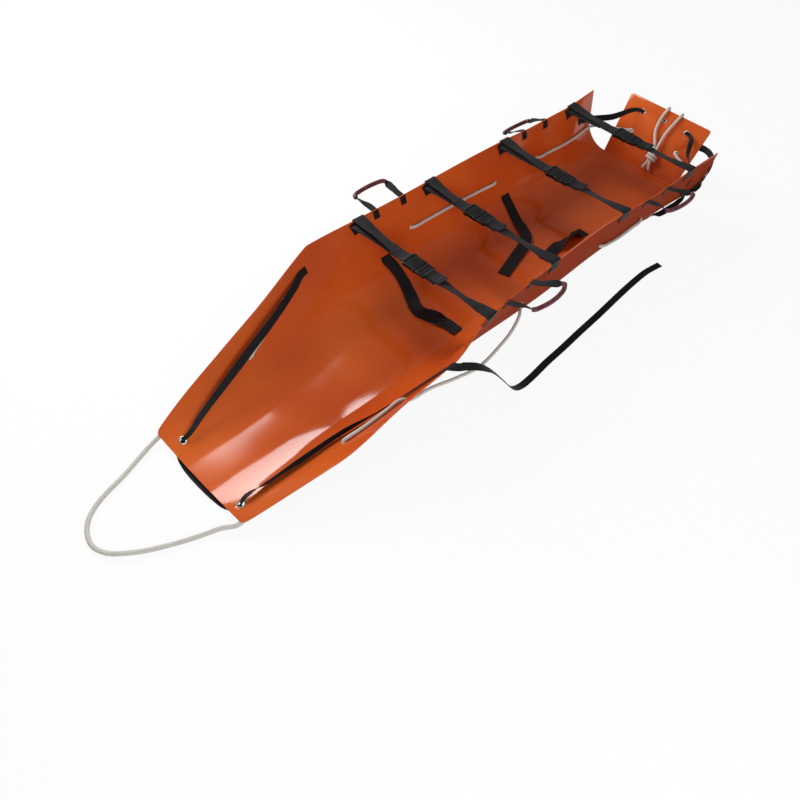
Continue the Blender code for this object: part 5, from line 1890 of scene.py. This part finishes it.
    def notch(self, side: Side, wall: list[Vector]) -> None:
        """Make the rope that crosses from the wall to the flap."""
        way = side.value
        a, y = LAY.flap_rope_hole
        y *= way
        away = (wall[-1] - wall[-2]).normalized()
        first = wall[-1] + away * LAY.run
        end = flap_point(a, y, 0.0075 + LAY.run)
        lead = flap_point(a, y, 0.0075 + LAY.run + 0.010)
        bow = lead + Vector((-0.006, way * 0.008, 0))
        line = RopeLine(f"notch_rope_{side.word}", [first, first + away * 0.018, bow, lead, end])
        bends(line.build(), first + away * 0.01, lead, f"rope_notch_{side.word}")


# Light straps


@dataclass
class LightStraps:
    """The foot strap and its loose end, the straps inside the trough and the head strap."""

    neck: float = 0.015
    over_u: float = 0.680
    edge_slant: float = 0.93
    ground: float = -FORM.thickness / 2

    def inner_runs(self) -> dict[str, tuple[Spot, Spot, list[tuple[float, ...]]]]:
        """Return each inner strap's slot, heading and spots of u, s, extra height and twist."""
        slots = LAY.inner_strap_slots
        return {
            "inner_strap_far_1": (slots[0], (0.0, -1.0), [
                (0.985, 0.248, 0.006, 0), (0.997, 0.195, 0.004, 0), (0.985, 0.135, 0.005, 0), (0.958, 0.080, 0.009, 10),
                (0.932, 0.035, 0.019, 45), (0.930, 0.000, 0.024, 72), (0.948, -0.030, 0.019, 45),
                (0.966, -0.060, 0.007, 0), (0.970, -0.125, 0.002, 0),
            ]),
            "inner_strap_far_2": (slots[1], (0.0, -1.0), [
                (1.595, 0.215, 0.002, 0), (1.592, 0.180, 0.002, 0), (1.580, 0.140, 0.003, 0), (1.555, 0.085, 0.008, 0),
                (1.525, 0.045, 0.011, 10), (1.485, 0.018, 0.008, 0), (1.430, 0.000, 0.005, 0),
                (1.365, -0.020, 0.003, 0), (1.300, -0.040, 0.002, 0),
            ]),
            "inner_strap_near": (slots[2], (-1.0, 0.0), [
                (1.705, -0.072, 0.004, 0), (1.660, -0.072, 0.020, 45), (1.620, -0.070, 0.020, 45),
                (1.575, -0.068, 0.006, 0), (1.530, -0.074, 0.002, 0), (1.480, -0.080, 0.001, 0),
            ]),
        }

    def inner(self) -> None:
        """Make the webbing ends that lie inside the trough."""
        for name, ((u, s), heading, spots) in self.inner_runs().items():
            points = []
            for spot_u, spot_s, extra, twist in spots:
                along, across, normal = FORM.axes(spot_u, spot_s)
                ahead = Vector(spots[-1][:2]) - Vector(spots[0][:2])
                axis = (along * ahead.x + across * ahead.y).normalized()
                up = Matrix.Rotation(math.radians(twist), 3, axis) @ normal
                points.append((FORM.laid(spot_u, spot_s, LAY.on_sheet + extra), up))
            stations = slot_pass(u, s, heading, 0.018, LAY.inner_width) + rising(points, LAY.inner_width)
            tape = Tape(name.replace("inner_strap", "inner_webbing"), stations, WIDE_WEB)
            report(tape.build(), "root", name)
            sewn(tape, "root", (0.008, -1), (-0.008, 1), (-0.020, 1))

    def foot_stations(self) -> list[Station]:
        """Return the foot strap's stations from its far tab to the near edge."""
        (far_u, far_s), (near_u, near_s) = LAY.foot_grommets
        u, s = LAY.foot_strap_slot
        stations = slot_pass(u, s, (-1.0, 0.0), 0.018)
        leave, climb_side = stations[-1].point, stations[-1].side
        under = -(FORM.thickness / 2 + 0.0030 + LAY.web / 2 + 0.0012)
        above = 0.001 - under
        along, across, _ = FORM.axes(far_u, far_s)
        side_far = 0.25 * along - 0.97 * across
        along, across, _ = FORM.axes(near_u, near_s)
        side_near = 0.25 * along + 0.97 * across
        far_top = FORM.laid(far_u + 0.010, far_s, above + 0.003)
        chord = far_top - leave
        away = FORM.axes(u, s)[2]
        wide = LAY.light_width
        for share, lift, mixed, width in (
            (0.10, 0.010, 0.0, wide), (0.22, 0.020, 0.0, wide), (0.55, 0.012, 0.5, wide), (0.88, 0.0, 1.0, 0.020),
        ):
            stations.append(Station(leave + chord * share + away * lift, climb_side.lerp(side_far, mixed), width))
        stations += [Station(point, side_far, self.neck) for point in (
            far_top, FORM.laid(far_u + 0.0035, far_s, above), FORM.laid(far_u, far_s, above - 0.004),
            FORM.laid(far_u, far_s, under + 0.004), FORM.laid(far_u - 0.004, far_s - 0.001, under),
        )]
        low = self.ground + LAY.web / 2 + 0.0030
        sweep = [
            FORM.laid(far_u - 0.022, far_s - 0.012, under - 0.001), Vector((0.010, 0.108, 0.0075)),
            Vector((0.001, 0.075, low + 0.0012)), Vector((-0.003, 0.030, low)), Vector((-0.003, -0.030, low)),
            Vector((0.000, -0.085, low + 0.0012)), Vector((0.006, -0.125, 0.0075)),
            FORM.laid(near_u - 0.020, near_s + 0.012, under - 0.001),
        ]
        stations += rising([(point, UP) for point in sweep], 0.020)
        stations += [Station(point, side_near, self.neck) for point in (
            FORM.laid(near_u - 0.004, near_s + 0.001, under), FORM.laid(near_u, near_s, under + 0.004),
            FORM.laid(near_u, near_s, above - 0.004), FORM.laid(near_u + 0.0035, near_s, above),
            FORM.laid(near_u + 0.010, near_s, above + 0.003),
        )]
        return stations + self.near_climb()

    def near_climb(self) -> list[Station]:
        """Return the stations up the near wall and over its edge on a slant."""
        half = FORM.half_width(self.over_u)
        edge = FORM.point(self.over_u, -half)
        normal = FORM.axes(self.over_u, -half)[2]
        step = 0.002
        rim = FORM.point(self.over_u + step, -FORM.half_width(self.over_u + step))
        rim = (rim - FORM.point(self.over_u - step, -FORM.half_width(self.over_u - step))).normalized()
        outward = rim.cross(normal)
        twist_axis = Vector((1, -0.4, 0.3)).normalized()
        climb = []
        for u, s, height, twist in (
            (0.140, -0.172, 0.012, -24.0), (0.260, -0.190, 0.014, -46.0), (0.395, -0.214, 0.014, -40.0),
            (0.500, -0.270, 0.010, -16.0), (0.600, -0.340, 0.006, 0.0), (0.660, -0.400, 0.004, 0.0),
        ):
            climb.append((FORM.laid(u, s, height), Matrix.Rotation(math.radians(twist), 3, twist_axis) @ normal))
        stations = rising(climb, LAY.light_width)
        drift = rim * self.edge_slant
        width = LAY.light_width * math.hypot(1.0, self.edge_slant)
        high = LAY.on_sheet + 0.0008
        radius = high + 0.0015
        stations.append(Station(edge + normal * high - (outward + drift) * 0.004, rim, width, True))
        for share in (0.3, 0.65, 1.0):
            swept = share * math.pi * 0.62
            turn = math.pi / 2 - swept
            offset = outward * math.cos(turn) + normal * math.sin(turn)
            stations.append(Station(edge + radius * offset + drift * radius * swept, rim, width, True))
        return stations

    def tail_route(self) -> list[Point]:
        """Return the loose end's route off the edge and along the ground."""
        low = self.ground + LAY.web
        return [
            (0.745, -0.376, 0.250), (0.792, -0.394, 0.214), (0.832, -0.404, 0.162), (0.870, -0.412, 0.105),
            (0.910, -0.418, 0.050), (0.958, -0.414, 0.016), (1.030, -0.407, low), (1.110, -0.400, low),
            (1.200, -0.396, low), (1.310, -0.389, low), (1.426, -0.383, low), (1.540, -0.375, low),
            (1.652, -0.369, low), (1.740, -0.369, low), (1.810, -0.380, low),
        ]

    def tail(self, last: Station, before: Station) -> None:
        away = (last.point - before.point).normalized()
        first = last.point + away * LAY.run
        route = [first, *smooth_line([first + away * 0.008, *map(Vector, self.tail_route())], 0.034)]
        stations = []
        for index, point in enumerate(route):
            level = -direction(route, index).cross(UP).normalized()
            if index < 2:
                stations.append(Station(point, last.side, last.width, True))
            else:
                side = last.side.lerp(level, min(1.0, index / 5))
                stations.append(Station(point, side, LAY.light_width))
        tape = Tape("foot_webbing_tail", stations, LIGHT_WEB, step=0.006)
        piece = tape.build()
        path = [point + SHIFT for point, _ in tape.sections[::3]]
        if (path[-1] - tape.sections[-1][0] - SHIFT).length > 0.001:
            path.append(tape.sections[-1][0] + SHIFT)
        tuple(path[0])
        round(length_of(path), 3)
        [tuple(point) for point in path]
        report(piece, "root", "foot_strap_tail")

    def foot(self) -> None:
        """Make the foot strap and its loose end."""
        stations = self.foot_stations()
        tape = Tape("foot_webbing", stations, LIGHT_WEB)
        report(tape.build(), "root", "foot_strap")
        sewn(tape, "root", (0.008, -1))
        self.tail(stations[-1], stations[-2])

    def head(self) -> None:
        """Make the head strap behind the flap and its ends across the notches."""
        flat = FLAP_FRAME.to_3x3() @ Vector((1, 0, 0))
        a, y = LAY.flap_strap_hole
        reach, high, bend = 0.0045, LAY.on_sheet, LAY.bend
        rim = [
            (y, reach, self.neck), (y, high - bend, self.neck), (y, bend - high, self.neck),
            (y - 0.0008, 0.0008 - high, self.neck), (y - bend, -high, self.neck), (y - 0.030, -high, LAY.light_width),
        ]
        path = rim + [(-across, height, width) for across, height, width in reversed(rim)]
        stations = [Station(flap_point(a, across, height), flat, width) for across, height, width in path]
        report(Tape("head_webbing_back", stations, LIGHT_WEB, step=0.002).build(), "head_flap", "head_strap_back")
        u, s = LAY.head_strap_slot
        for side in Side:
            way = side.value
            stations = slot_pass(u, way * s, (1.0, 0.0), 0.018)
            leave = stations[-1]
            gap = reach + LAY.run
            end, lead = flap_point(a, way * y, gap), flap_point(a, way * y, gap + 0.003)
            bow = lead.lerp(leave.point, 0.5) + Vector((0, -way * 0.004, 0))
            stations += [
                Station(bow, leave.side.lerp(flat, 0.5), LAY.light_width),
                Station(lead + Vector((0, way * 0.006, 0)), flat, self.neck), Station(lead, flat, self.neck),
                Station(end, flat, self.neck),
            ]
            piece = Tape(f"head_webbing_{side.word}", stations, LIGHT_WEB).build()
            bends(piece, leave.point, lead, f"head_strap_{side.word}")

    def head_ends(self) -> None:
        """Make the head strap's end round the flap's near edge and the band below the near wall."""
        rise = FLAP_FRAME.to_3x3() @ Vector((1, 0, 0))
        behind = -(LAY.on_sheet + LAY.web + 0.0012)
        edge, level = HeadFlap().top_half, 0.176
        stations = [
            Station(flap_point(level, -y, behind), rise, LAY.light_width)
            for y in (edge - 0.055, edge - 0.025, edge - 0.002)
        ]
        stations.append(Station(flap_point(level, -edge - 0.016, behind * 0.6), rise, LAY.light_width))
        lift = -(LAY.on_sheet + 0.0060)
        for u, s, way in (
            (2.180, 0.366, 0.9), (2.172, 0.336, 0.6), (2.146, 0.312, 0.35), (2.105, 0.300, 0.2), (2.075, 0.297, 0.2),
        ):
            along, across, _ = FORM.axes(u, -s)
            stations.append(Station(FORM.laid(u, -s, lift), along * (1 - way) - across * way, LAY.light_width))
        piece = Tape("head_webbing_end", stations, LIGHT_WEB, step=0.0025).build()
        bends(piece, stations[4].point, stations[2].point)
        band = [
            Station(
                FORM.laid(u, -s, -(LAY.on_sheet + lift)),
                FORM.axes(u, -s)[1] * (1 - turn) + FORM.axes(u, -s)[2] * turn, LAY.light_width,
            )
            for u, s, lift, turn in (
                (1.915, 0.240, 0.0, 0.0), (1.945, 0.240, 0.001, 0.0), (1.985, 0.248, 0.012, 0.6),
                (2.030, 0.260, 0.014, 0.7), (2.080, 0.275, 0.010, 0.5), (2.115, 0.284, 0.001, 0.0),
                (2.140, 0.286, 0.0, 0.0),
            )
        ]
        tape = Tape("lower_webbing_near", band, LIGHT_WEB)
        report(tape.build(), "root")
        sewn(tape, "root", *((at, -1) for at in (0.006, 0.014, -0.014, -0.006)), name="lower_webbing_threads")

    def build(self) -> None:
        """Make all the light straps."""
        self.inner()
        self.foot()
        self.head()
        self.head_ends()


# Studio


@dataclass(frozen=True)
class Lamp:
    """A soft rectangular lamp, placed and aimed in the layout frame."""

    name: str
    place: Point
    aim: Point
    size: Spot
    power: float

    def build(self) -> None:
        """Add the lamp."""
        light = bpy.data.lights.new(self.name, "AREA")
        light.shape, light.energy = "RECTANGLE", self.power
        light.size, light.size_y = self.size
        lamp = linked(self.name, light)
        lamp.location = Vector(self.place) + SHIFT
        lamp.rotation_euler = (Vector(self.aim) - Vector(self.place)).to_track_quat("-Z", "Y").to_euler()


@dataclass
class Studio:
    """Plain pale floor, soft light and the photo's camera."""

    camera_place: Point = (-0.46514, -1.24144, 1.94399)
    camera_right: Point = (0.717444, -0.695997, 0.029348)
    camera_down: Point = (-0.533926, -0.576461, -0.618559)
    camera_ahead: Point = (0.447434, 0.428112, -0.785190)
    focal_pixels: float = 775.44
    picture: float = 800.0
    sensor: float = 36.0
    fill: float = 0.28
    whiteness: float = 0.91
    floor_half: float = 14.0
    lamps: tuple[Lamp, ...] = (
        Lamp("window", (1.10, 2.51, 1.95), (0.15, -0.12, 0.0), (1.00, 1.90), 96.0),
        Lamp("front", (-0.60, -2.95, 1.90), (1.10, 0.10, 0.10), (1.6, 1.2), 56.0),
    )

    def camera(self) -> None:
        """Add the camera at the photo's viewing angle."""
        lens = bpy.data.cameras.new("photo_view")
        lens.sensor_width = self.sensor
        lens.lens = self.focal_pixels * self.sensor / self.picture
        lens.clip_end = 60.0
        eye = linked("photo_view", lens)
        axes = (Vector(self.camera_right), -Vector(self.camera_down), -Vector(self.camera_ahead))
        eye.matrix_world = frame_of(axes, Vector(self.camera_place) + SHIFT)
        bpy.context.scene.camera = eye

    def floor(self) -> None:
        """Add the floor, which is white and takes the object's shadow."""
        build = bmesh.new()
        bmesh.ops.create_grid(build, x_segments=4, y_segments=4, size=self.floor_half)
        bmesh.ops.translate(build, verts=build.verts, vec=(0, 0, CAD_BOX[0][2] - 0.0004))
        floor = as_object("studio_floor", build)
        sketch = Sketch("floor_white")
        tone = sketch.ramp(sketch.noise(0.4, 1.0), 0.0, 1.0, 0.93, 0.95)
        sketch.set(
            Base_Color=sketch.mix(tone, (0.0, 0.0, 0.0), (1.0, 1.0, 1.0)), Roughness=0.95, Specular_IOR_Level=0.1,
        )
        path = sketch.nodes.new("ShaderNodeLightPath")
        seen = sketch.math("MAXIMUM", path.outputs["Is Camera Ray"], path.outputs["Is Transmission Ray"])
        seen = sketch.math("MAXIMUM", seen, path.outputs["Is Glossy Ray"])
        glow = sketch.nodes.new("ShaderNodeEmission")
        blend = sketch.nodes.new("ShaderNodeMixShader")
        sketch.put(blend.inputs[0], sketch.times(seen, self.whiteness))
        sketch.links.new(sketch.shader.outputs[0], blend.inputs[1])
        sketch.links.new(glow.outputs[0], blend.inputs[2])
        sketch.links.new(blend.outputs[0], sketch.nodes["Material Output"].inputs[0])
        floor.data.materials.append(sketch.material)

    def sky(self) -> None:
        """Light the room evenly."""
        world = bpy.data.worlds.new("studio")
        bpy.context.scene.world = world
        world.use_nodes = True
        back = world.node_tree.nodes["Background"]
        back.inputs["Strength"].default_value = self.fill
        back.inputs["Color"].default_value = (1.0, 1.0, 1.0, 1.0)

    def build(self) -> None:
        """Set up the whole studio."""
        bpy.context.scene.view_settings.view_transform = "Standard"
        self.camera()
        self.floor()
        self.sky()
        for lamp in self.lamps:
            lamp.build()


def main() -> None:
    """Build the stretcher piece by piece, then its studio."""
    logging.basicConfig(level=logging.INFO, format="%(message)s")
    Studio().build()
    Rigging().build()
    LightStraps().build()
    CurledSheet().build()
    HeadFlap().build()
    build_eyelets()
    for index in range(len(LAY.strap_at)):
        CrossStrap(index).build()
    for index in range(len(LAY.handle_at)):
        for side in Side:
            Handle(index, side).build()


if __name__ == "__main__":
    main()
